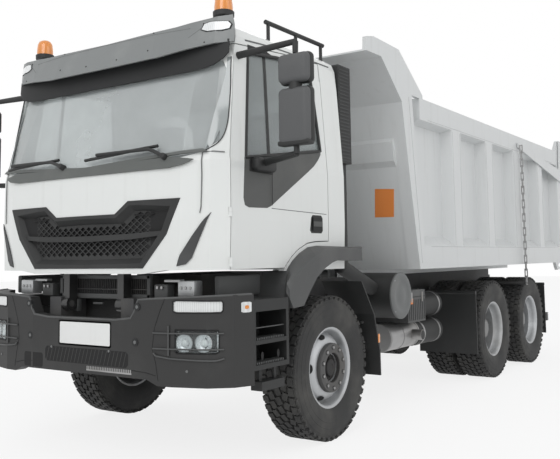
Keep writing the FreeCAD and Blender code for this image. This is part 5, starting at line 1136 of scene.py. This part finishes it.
def makeLamps():
    h = headLamps
    bowls, eyes, rings = bmesh.new(), bmesh.new(), bmesh.new()
    for side in bothSides:
        for x, z in h["places"]:
            face = lifted(bumperSkin, x, z, h["lift"])
            way = skinNormal(bumperSkin, x, z)
            way = way if way.y < 0 else -way
            if side < 0:
                face.x, way.x = -face.x, -way.x
            turn = Matrix.Translation(face) @ way.to_track_quat("X", "Z").to_matrix().to_4x4()
            joined(bowls, lathe(h["bowl"], 40), turn)
            joined(rings, lathe(h["ring"], 40, closed=True), turn)
            joined(eyes, lathe(h["eye"], 28), turn)
    settle("lampBowls", bowls, "chromeBowl", "chassis", roundAngle)
    settle("lampEyes", eyes, "lampLens", "chassis", roundAngle)
    settle("lampRings", rings, "aluminium", "chassis")
    for name, outline, lift, wall, finish, slot in h["covers"]:
        onBumper(name, [h[outline]], lift, wall, finish)
    # the dark lines round the covers are painted shadow
    for name, outline, lift, radius in h["frames"]:
        line = h[outline] + h[outline][:1]
        tube(name, bumperLines([line], lift), radius, "holeShade", "chassis", soft=False)
    tube("lampGuard", bumperLines(h["guard"], h["guardLift"]), h["guardRadius"], "guardGrey", "chassis")
    for name, sizes, lift, wall, finish, slot in h["repeaters"]:
        onBumper(name, [rect(*sizes)], lift, wall, finish, step=h["repeaterStep"])


# under the grille: cooler strip, side brackets and bright bolts; y counts from the cooler's face
underGrille = {
    "face": at(-1.22),
    "frame": [((-0.46, 0.0, 1.235), (0.46, 0.03, 1.262), 0.004),
              ((-0.46, 0.0, 1.095), (0.46, 0.03, 1.13), 0.004)],
    "frameSides": [((0.43, 0.0, 1.1), (0.46, 0.03, 1.26), 0.004),
                   ((0.52, -0.02, 1.11), (0.64, 0.05, 1.2), 0.006)],
    "core": [((-0.43, 0.02, 1.13), (0.43, 0.06, 1.235))],
    "fins": 46, "finStart": -0.42, "finPitch": 0.0187, "fin": ((0.0, 0.014, 1.133), (0.003, 0.022, 1.233)),
    "finBar": [((-0.43, 0.006, 1.158), (0.43, 0.016, 1.166), 0.002)],
    "brackets": [((0.74, -0.03, 1.12), (0.88, 0.06, 1.225), 0.008),
                 ((0.6, -0.01, 1.215), (0.74, 0.04, 1.232), 0.004)],
    "bolts": (0.56, 0.6, 0.77, 0.81, 0.85), "boltHeight": 1.18, "boltReach": -0.036, "boltRadius": 0.011,
    "posts": [((-0.3, -0.02, 1.0), (-0.24, 0.02, 1.09), 0.006),
              ((-0.08, -0.02, 1.055), (0.02, 0.0, 1.07), 0.004)],
    "sidePosts": [((0.985, -1.17, 1.12), (1.03, -0.72, 1.255), 0.01)],
}


def makeFrontUnder():
    u = underGrille
    face = u["face"]
    bm = bmesh.new()
    blocks(bm, u["frame"], face)
    blocks(bm, u["frameSides"], face, bothSides)
    settle("coolerFrame", bm, "greyPlastic", "chassis")
    bm = bmesh.new()
    blocks(bm, u["core"], face)
    settle("coolerCore", bm, "holeShade", "chassis")
    bm = bmesh.new()
    (x0, y0, z0), (x1, y1, z1) = u["fin"]
    for i in range(u["fins"]):
        x = u["finStart"] + i * u["finPitch"]
        blocks(bm, [((x + x0, y0, z0), (x + x1, y1, z1))], face)
    blocks(bm, u["finBar"], face)
    settle("coolerFins", bm, "frameSteel", "chassis")
    bm = bmesh.new()
    blocks(bm, u["brackets"], face, bothSides)
    settle("frontBrackets", bm, "aluminium", "chassis")
    bm = bmesh.new()
    for side in bothSides:
        for x in u["bolts"]:
            rod(bm, (side * x, face, u["boltHeight"]), (side * x, face + u["boltReach"], u["boltHeight"]),
                u["boltRadius"], sides=6)
    settle("bracketBolts", bm, "bareSteel", "chassis")
    bm = bmesh.new()
    blocks(bm, u["posts"], face)
    blocks(bm, u["sidePosts"], axleY, bothSides)
    settle("frontPosts", bm, "sidePlastic", "chassis")


# cab steps: serrated treads on both steps and the hanging one, a top edge, and dark ovals of painted shade
# for the oval holes
stepTrim = {
    "front": -1.06, "rear": -0.725, "inner": 1.16, "outer": 1.236,
    "treads": (0.843, 0.689), "bars": 16, "firstBar": 0.01, "barPitch": 0.0195, "barWide": 0.009,
    "barHigh": 0.014,
    "topEdge": [((1.21, -1.06, 0.917), (1.226, -0.725, 0.924), 0.002)],
    "lowBars": 10, "lowFront": -0.99, "lowPitch": 0.0185, "lowWide": 0.008, "low": 0.562, "lowTop": 0.572,
    "holes": (-1.0, -0.82), "holeX": 1.2408, "holeHeight": 0.742, "holeSize": (0.026, 0.014),
}


def makeStepTrim():
    s = stepTrim
    treads, holes = bmesh.new(), bmesh.new()
    for side in bothSides:
        x0, x1 = side * s["inner"], side * s["outer"]
        for z in s["treads"]:
            for i in range(s["bars"]):
                y = at(s["front"]) + s["firstBar"] + i * s["barPitch"]
                block(treads, (x0, y, z), (x1, y + s["barWide"], z + s["barHigh"]))
        blocks(treads, s["topEdge"], axleY, (side,))
        for i in range(s["lowBars"]):
            y = at(s["lowFront"]) + i * s["lowPitch"]
            block(treads, (x0, y, s["low"]), (x1, y + s["lowWide"], s["lowTop"]))
        # the oval holes are flat dark ovals: painted shade
        for offset in s["holes"]:
            made = bmesh.ops.create_circle(holes, cap_ends=True, radius=1.0, segments=18)["verts"]
            spot = Matrix.Translation((side * s["holeX"], at(offset), s["holeHeight"]))
            stand = Matrix.Rotation(math.radians(90), 4, "Y")
            size = Matrix.Diagonal((*s["holeSize"], 1, 1))
            bmesh.ops.transform(holes, matrix=spot @ stand @ size, verts=made)
    settle("stepTreads", treads, "guardGrey", "chassis")
    settle("stepHoleShade", holes, "holeShade", "chassis")


# mirrors: two housings with glass to the rear, neck and arms, and a foot on the door
mirrorSettings = {
    "inner": 1.46, "outer": 1.7, "front": -1.13, "deep": 0.105, "housings": ((2.065, 2.437), (2.4544, 2.655)),
    "caseStart": 0.03, "caseEdge": 0.034, "shellInset": 0.006, "shellDeep": 0.075, "shellEdge": 0.036,
    "paneInset": 0.02, "paneFront": 0.004, "paneProud": 0.001, "paneEdge": 0.0015,
    "lipInset": 0.004, "lipDeep": 0.08, "lipHigh": 0.03, "lipEdge": 0.01,
    "neckRadius": 0.045, "neckTop": 0.04, "neckReach": 0.02,
    # arms: where each leaves the cab and the height of its bend
    "arms": (((1.17, -0.86, 2.01), 2.014), ((1.046, -1.02, 2.73), 2.73)),
    "armRadius": 0.026, "armTip": 0.019, "dropRadius": 0.02, "dropTip": 0.018,
    "stemRadius": 0.016, "stemInset": 0.01,
    "footOutline": fromAxle([(-0.985, 1.945), (-0.715, 1.94), (-0.72, 2.03), (-0.76, 2.05), (-0.95, 2.05),
                             (-0.985, 2.02)]),
    "footLift": 0.004, "footWall": 0.03,
    "footBlock": [((1.12, -0.965, 1.95), (1.205, -0.735, 2.045), 0.03, 4)],
}


def makeMirrorHead():
    # cases with the arms, shells and panes of the left mirror
    m = mirrorSettings
    cases, shells, panes = bmesh.new(), bmesh.new(), bmesh.new()
    x0, x1, y = m["inner"], m["outer"], at(m["front"])
    (low, lowTop), (high, top) = m["housings"]
    shell, pane, lip = m["shellInset"], m["paneInset"], m["lipInset"]
    rear = y + m["deep"]
    for z0, z1 in m["housings"]:
        block(cases, (x0, y + m["caseStart"], z0), (x1, rear, z1), m["caseEdge"], 5)
        block(shells, (x0 + shell, y, z0 + shell), (x1 - shell, y + m["shellDeep"], z1 - shell),
              m["shellEdge"], 6)
        block(panes, (x0 + pane, rear - m["paneFront"], z0 + pane),
              (x1 - pane, rear + m["paneProud"], z1 - pane), m["paneEdge"], 1)
    block(cases, (x0 + lip, y + lip, low), (x1 - lip, y + m["lipDeep"], low + m["lipHigh"]), m["lipEdge"], 3)
    middle = (x0 + x1) / 2
    y = y + m["deep"] / 2
    rod(cases, (middle, y, lowTop - m["neckReach"]), (middle, y, high + m["neckReach"]), m["neckRadius"],
        m["neckTop"], 20)
    for ((armX, offset, armZ), bend), edge in zip(m["arms"], (low, top)):
        end = Vector((middle, y, bend))
        rod(cases, (armX, at(offset), armZ), end, m["armRadius"], m["armTip"], 16)
        rod(cases, end, (middle, y, edge), m["dropRadius"], m["dropTip"], 14)
    rod(cases, (middle, y, low + m["stemInset"]), (middle, y, top - m["stemInset"]), m["stemRadius"],
        sides=12)
    return {"mirrorArms": (cases, "blackPlastic"), "mirrorShells": (shells, "mirrorGrey"),
            "mirrorPanes": (panes, "paneGlass")}


def makeMirrors():
    m = mirrorSettings
    for side, word in sideNames:
        for part, (bm, finish) in makeMirrorHead().items():
            if side < 0:
                bmesh.ops.transform(bm, matrix=mirrorX, verts=bm.verts)
            piece = settle(part + "_" + word, bm, finish, "door_" + word)
            if part == "mirrorArms":
                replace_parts(piece, "mirrors_" + word)
        bm = bmesh.new()
        patch(bm, m["footOutline"], sideSkin, m["footLift"], m["footWall"], side=side)
        blocks(bm, m["footBlock"], axleY, (side,))
        settle("mirrorFoot_" + word, bm, "blackPlastic", "door_" + word)


# visor: its leaning, wrapped face as a rule, with clearance lamps, rivets and a line of painted shade in a
# crease
visorShape = {
    "low": 2.745, "high": 0.252, "front": -1.275, "lean": 0.095, "wrap": 0.165, "topWrap": 0.095,
    "half": 1.112,
    "plan": ((0.0, 0.0), (0.45, 0.03), (0.72, 0.2), (0.9, 0.5), (1.0, 1.0)),
}
visorTrim = {
    "lampEdge": [(0.885, 2.905), (0.9, 2.945), (0.94, 2.958), (1.08, 2.95), (1.1, 2.925), (1.09, 2.895),
                 (1.04, 2.88), (0.93, 2.885)],
    "lampMiddle": (1.0, 2.92), "lampStep": 0.04,
    # lamp parts: lift, wall, finish, slot and how far the edge is drawn in
    "lampParts": (("visorLampBase", 0.003, 0.003, "shadePlastic", "black_plastic", 0.0),
                  ("visorLampLens", 0.006, 0.004, "lampLens", "lamp_clear", 0.01)),
    "rivets": ((0.46, 2.82), (0.47, 2.955), (0.93, 2.81), (0.9, 2.95), (0.16, 2.8)),
    "rivetFrom": -0.002, "rivetTo": 0.003, "rivetRadius": 0.007, "rivetTop": 0.005, "rivetSides": 10,
    "crease": [[(0.0, 2.945), (0.5, 2.94), (0.8, 2.93)], [(0.8, 2.86), (0.905, 2.93)]],
    "creaseLift": -0.0008, "creaseRadius": 0.0022,
}
# beacons: base and dome turned round an upright axis, as (height, radius)
beaconSettings = {
    "place": (0.945, -1.001),
    "base": [(2.965, 0.0), (2.965, 0.024), (3.025, 0.024), (3.03, 0.074), (3.062, 0.075), (3.066, 0.07),
             (3.066, 0.0)],
    "dome": [(3.066, 0.066), (3.1, 0.066), (3.15, 0.061), (3.175, 0.05), (3.187, 0.03), (3.19, 0.0)],
}
# pulls on the grille's bar
grillePull = {
    "radius": 0.005,
    "line": ((0.44, -1.34, 1.672), (0.445, -1.366, 1.666), (0.615, -1.36, 1.666), (0.62, -1.33, 1.672)),
}


def visorSkin(x, z):
    v = visorShape
    t = min(max((z - v["low"]) / v["high"], 0.0), 1.0)
    front = v["front"] + v["lean"] * t
    wrap = v["wrap"] + (v["topWrap"] - v["wrap"]) * t
    reach = min(abs(x), v["half"] - 0.0001)
    return Vector((math.copysign(reach, x), at(front + alongPlan(v["plan"], reach / v["half"]) * wrap), z))


def makeVisorTrim():
    t = visorTrim
    middle = Vector(t["lampMiddle"])
    for part, lift, wall, finish, slot, shrink in t["lampParts"]:
        outline = [tuple(Vector(p) + (middle - Vector(p)).normalized() * shrink) for p in t["lampEdge"]]
        laid(part, [outline], visorSkin, lift, wall, finish, "cab", bothSides, t["lampStep"])
    bm = bmesh.new()
    for x, z in t["rivets"]:
        for side in bothSides:
            ends = [lifted(visorSkin, x * side, z, lift) for lift in (t["rivetFrom"], t["rivetTo"])]
            rod(bm, *ends, t["rivetRadius"], t["rivetTop"], t["rivetSides"])
    settle("visorRivets", bm, "blackPlastic", "cab")
    # a thin dark line along the visor's fold: painted shade
    tube("visorCreaseShade", skinLines(t["crease"], visorSkin, t["creaseLift"]), t["creaseRadius"], "seamShade",
         "cab", soft=False)


def makeBeacons():
    b = beaconSettings
    bases, domes = bmesh.new(), bmesh.new()
    for side in bothSides:
        x, offset = b["place"]
        turn = Matrix.Translation((side * x, at(offset), 0)) @ Matrix.Rotation(math.radians(-90), 4, "Y")
        joined(bases, lathe(b["base"], 32), turn)
        joined(domes, lathe(b["dome"], 40), turn)
    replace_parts(settle("beaconBases", bases, "blackPlastic", "cab"), "beacons")
    settle("beaconDomes", domes, "amberLens", "cab", roundAngle)


def makeGrillePulls():
    lines = [[Vector((side * x, at(y), z)) for x, y, z in grillePull["line"]] for side in bothSides]
    tube("grillePulls", lines, grillePull["radius"], "holeShade", "cab")


makeWheels()
print("wheels made")
makeBumperTrim()
makeBumperStep()
makeLamps()
makeFrontUnder()
makeStepTrim()
makeMirrors()
makeVisorTrim()
makeBeacons()
makeGrillePulls()
print("front end made")


# units on the rails: filter cap and clips, box lid and ribs, bands, end rims, a dark disc of painted shade in
# the muffler's outlet, markers and bolts
unitSettings = {
    "filterPlace": (1.19, 1.174, 1.02),
    "filterCap": [(-0.012, 0.2), (-0.012, 0.204), (0.002, 0.204), (0.008, 0.196), (0.011, 0.18),
                  (0.012, 0.14), (0.008, 0.132), (0.008, 0.07), (0.012, 0.06), (0.012, 0.0)],
    "clips": 4, "clipCircle": 0.18, "clipHalf": 0.012, "clipX": (1.168, 1.2), "clipEdge": 0.003,
    "lid": [((1.1495, 1.39, 0.985), (1.154, 1.779, 0.993))],
    "ribs": 9, "ribStart": 1.42, "ribPitch": 0.041, "rib": ((1.149, 0.0, 0.775), (1.1535, 0.012, 0.965)),
    "ribEdge": 0.0015,
    "latches": [((1.148, 1.458, 0.94), (1.158, 1.482, 1.03), 0.002),
                ((1.148, 1.688, 0.94), (1.158, 1.712, 1.03), 0.002)],
    "tankPlaces": tuple((0.9, y, z) for z in (0.875, 0.61) for y in (2.02, 2.4)),
    "tankBand": [(0.0, 0.1235), (0.0, 0.1265), (0.03, 0.1265), (0.03, 0.1235)],
    "mufflerPlaces": tuple((0.93, y, 0.628) for y in (1.24, 1.5, 1.815)),
    "mufflerBand": [(0.0, 0.1255), (0.0, 0.1295), (0.022, 0.1295), (0.022, 0.1255)],
    "outlet": ((1.14, 1.705, 0.628), (1.1508, 1.705, 0.628)), "outletRadius": 0.043,
    "markers": [((1.232, 0.625, 0.665), (1.2395, 0.655, 0.735), 0.003)],
    "boxPanel": [((1.149, 1.43, 0.925), (1.1555, 1.495, 0.975), 0.001)],
    "flapBolts": (0.9, 0.83, 0.67, 0.6), "flapBolt": ((1.12, 0.6), (1.12, 0.563)), "flapBoltRadius": 0.011,
    "railBolts": 12, "railStart": 1.3, "railPitch": 0.32, "railHeights": (0.79, 0.98), "railX": (0.41, 0.437),
    "railBoltRadius": 0.012,
}
# intake duct: louvres on its outer face, seam at its foot and top edge
ductSettings = {
    "louvres": 26, "start": 2.17, "pitch": 0.029, "high": 0.011, "front": 0.302, "rear": 0.488,
    "margin": 0.012,
    "edge": 0.001, "x": (1.0945, 1.0995), "seamX": (0.897, 1.0985), "seamOut": 0.003,
    # seams: low, high and edge
    "seams": ((2.15, 2.16, 0.0), (2.925, 2.939, 0.003)),
}


def bands(bm, places, profile, steps):
    # the same ring turned round a lying axis at each place
    for x, offset, z in places:
        spot = Matrix.Translation((x, at(offset), z)) @ Matrix.Rotation(math.radians(90), 4, "Z")
        joined(bm, lathe(profile, steps, closed=True), spot)


def makeUnits():
    u = unitSettings
    dark, light, steel = bmesh.new(), bmesh.new(), bmesh.new()
    x, offset, z = u["filterPlace"]
    joined(light, lathe(u["filterCap"], 64), Matrix.Translation((x, at(offset), z)))
    half = u["clipHalf"]
    for i in range(u["clips"]):
        angle = math.radians(45 + 90 * i)
        clipY, clipZ = at(offset) + u["clipCircle"] * math.cos(angle), z + u["clipCircle"] * math.sin(angle)
        block(steel, (u["clipX"][0], clipY - half, clipZ - half), (u["clipX"][1], clipY + half, clipZ + half),
              u["clipEdge"])
    blocks(dark, u["lid"])
    (x0, y0, z0), (x1, y1, z1) = u["rib"]
    for i in range(u["ribs"]):
        y = at(u["ribStart"] + i * u["ribPitch"])
        blocks(dark, [((x0, y0, z0), (x1, y1, z1), u["ribEdge"], 1)], y)
    blocks(steel, u["latches"])
    bands(steel, u["tankPlaces"], u["tankBand"], 48)
    bands(steel, u["mufflerPlaces"], u["mufflerBand"], 56)
    # dark disc at the muffler's outlet: painted shade in the pipe's opening
    ends = [(x, at(y), z) for x, y, z in u["outlet"]]
    rod(dark, *ends, u["outletRadius"], sides=32)
    settle("unitDark", dark, "blackPlastic", "chassis")
    settle("filterCap", light, "capGrey", "chassis", 50)
    settle("unitSteel", steel, "bareSteel", "chassis", 40)
    bm = bmesh.new()
    blocks(bm, u["markers"], sides=bothSides)
    settle("sideMarkers", bm, "amberLens", "chassis")
    bm = bmesh.new()
    blocks(bm, u["boxPanel"])
    settle("boxLabel", bm, "panelOrange", "chassis")


def makeFrameBolts():
    u = unitSettings
    bm = bmesh.new()
    (xa, ya), (xb, yb) = u["flapBolt"]
    for side in bothSides:
        for z in u["flapBolts"]:
            rod(bm, (side * xa, at(ya), z), (side * xb, at(yb), z), u["flapBoltRadius"], sides=6)
        for i in range(u["railBolts"]):
            y = at(u["railStart"] + i * u["railPitch"])
            for z in u["railHeights"]:
                ends = [(side * x, y, z) for x in u["railX"]]
                rod(bm, *ends, u["railBoltRadius"], sides=6)
    settle("frameBolts", bm, "bareSteel", "chassis")


def makeDuct():
    d = ductSettings
    bm = bmesh.new()
    y0, y1 = at(d["front"]), at(d["rear"])
    for i in range(d["louvres"]):
        z = d["start"] + i * d["pitch"]
        block(bm, (d["x"][0], y0 + d["margin"], z), (d["x"][1], y1 - d["margin"], z + d["high"]),
              d["edge"], 1)
    for z0, z1, edge in d["seams"]:
        block(bm, (d["seamX"][0], y0 - d["seamOut"], z0), (d["seamX"][1], y1 + d["seamOut"], z1), edge)
    settle("ductLouvres", bm, "ventPlastic", "chassis")


# tipper body: blank orange panels, rail seams and weld lines; roof gutters on the cab
bodyTrim = {
    # the headboard's sloping face: offset and height of one point, and its slope
    "headLean": (1.333, 1.994, 0.2077),
    "headPanel": ((0.842, 1.732), (1.037, 1.728), (1.071, 1.982), (0.877, 1.994)),
    "sideX": 1.1331, "sidePanel": rect(at(5.5), at(5.585), 1.64, 1.72),
    "panelLift": -0.001, "panelWall": 0.004,
    "sideWall": 0.002, "seamX": 1.2447, "seamRadius": 0.0022, "rails": (2.66, 1.452), "railEnds": (1.75, 6.1),
    "ribs": 4, "ribStart": 2.349, "ribEdges": (0.02, 0.22), "ribEnds": (1.47, 2.63),
    "frontSeam": ((1.33, 2.82), (1.53, 1.3)),
    "gutter": fromAxle([(-0.93, 2.86), (-0.6, 2.885), (-0.2, 2.895), (0.2, 2.897)]), "gutterLift": 0.001,
    "gutterRadius": 0.0055,
}


def headFace(x, z):
    offset, height, slope = bodyTrim["headLean"]
    return Vector((x, at(offset + (height - z) * slope), z))


def sideFace(y, z):
    return Vector((bodyTrim["sideX"], y, z))


def sheet(bm, outline, face, way, lift, wall, side=1.0):
    # an outline filled on a flat face and thickened along its way out
    flat = bmesh.new()
    corners = [flat.verts.new(face(u, v)) for u, v in outline]
    bmesh.ops.contextual_create(flat, geom=corners)
    if sum(f.normal.dot(way) for f in flat.faces) < 0:
        bmesh.ops.reverse_faces(flat, faces=flat.faces)
    bmesh.ops.translate(flat, vec=way * lift, verts=flat.verts)
    grown = bmesh.ops.extrude_face_region(flat, geom=flat.faces[:])["geom"]
    bmesh.ops.translate(flat, vec=way * wall, verts=[v for v in grown if isinstance(v, bmesh.types.BMVert)])
    joined(bm, flat, Matrix.Diagonal((side, 1, 1, 1)))
    flat.free()


def makeBodyTrim():
    t = bodyTrim
    bm = bmesh.new()
    sheet(bm, t["headPanel"], headFace, Vector((0, -1, 0)), t["panelLift"], t["panelWall"])
    settle("headPanel", bm, "panelOrange", "bed")
    bm = bmesh.new()
    for side in bothSides:
        sheet(bm, t["sidePanel"], sideFace, Vector((1, 0, 0)), 0.0, t["sideWall"], side)
    settle("sidePanel", bm, "panelOrange", "bed")
    lines = []
    for side in bothSides:
        x = side * t["seamX"]
        for z in t["rails"]:
            lines.append([Vector((x, at(end), z)) for end in t["railEnds"]])
        for i in range(t["ribs"]):
            for edge in t["ribEdges"]:
                lines.append([Vector((x, at(t["ribStart"] + i) + edge, z)) for z in t["ribEnds"]])
        lines.append([Vector((x, at(y), z)) for y, z in t["frontSeam"]])
    tube("bodySeams", lines, t["seamRadius"], "weldShade", "bed", soft=False)


def makeGutters():
    t = bodyTrim
    tube("roofGutters", skinLines([t["gutter"]], sideSkin, t["gutterLift"]), t["gutterRadius"], "seamShade",
         "cab", soft=False)


makeUnits()
makeFrameBolts()
makeDuct()
makeBodyTrim()
makeGutters()
print("chassis and body trim made")


# rear lamps: lenses on each housing, with their ends in x, from the truck's middle outward
rearLamps = {
    "low": 0.465, "high": 0.545, "sunk": 0.002, "proud": 0.008, "edge": 0.005,
    "lenses": {
        "stopLenses": (((0.862, 0.955), (1.079, 1.138)), "redLens", "amber"),
        "turnLenses": (((1.017, 1.072),), "amberLens", "amber"),
        "reverseLenses": (((0.962, 1.01),), "lampClear", "lamp_clear"),
    },
}
# fuel tank: straps on both faces and the filler cap
tankSettings = {
    "front": 1.25, "rear": 2.45, "outer": -1.16, "inner": -0.45, "low": 0.52, "high": 1.06,
    "strapInset": 0.07, "strapWide": 0.05, "strapThick": 0.004, "strapOut": 0.0015, "strapIn": 0.0025,
    "frontStrap": 0.2, "rearStrap": 0.26, "capInset": (0.09, 0.12), "capSunk": 0.01, "capHigh": 0.03,
    "capRadius": 0.045, "capTop": 0.042, "capEdge": 0.006, "strapEdge": 0.001,
}


def makeRearLamps():
    r = rearLamps
    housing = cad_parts["lamps"]
    y = max((housing.matrix_world @ vert.co).y for vert in housing.data.vertices)
    for name, (spans, finish, slot) in r["lenses"].items():
        bm = bmesh.new()
        for side in bothSides:
            for x0, x1 in spans:
                block(bm, (side * x0, y - r["sunk"], r["low"]), (side * x1, y + r["proud"], r["high"]),
                      r["edge"], 3)
        settle(name, bm, finish, "chassis")


def makeTank():
    t = tankSettings
    straps, cap = bmesh.new(), bmesh.new()
    for offset in (t["front"] + t["frontStrap"], t["rear"] - t["rearStrap"]):
        for x in (t["outer"] - t["strapOut"], t["inner"] - t["strapIn"]):
            block(straps, (x, at(offset), t["low"] + t["strapInset"]),
                  (x + t["strapThick"], at(offset + t["strapWide"]), t["high"] - t["strapInset"]),
                  t["strapEdge"], 1)
    x, y = t["outer"] + t["capInset"][0], at(t["front"] + t["capInset"][1])
    rod(cap, (x, y, t["high"] - t["capSunk"]), (x, y, t["high"] + t["capHigh"]), t["capRadius"], t["capTop"],
        28, t["capEdge"])
    settle("tankStraps", straps, "bareSteel", "chassis")
    settle("tankCap", cap, "blackPlastic", "chassis")


makeRearLamps()
makeTank()
print("rear lamps and tank trim made")
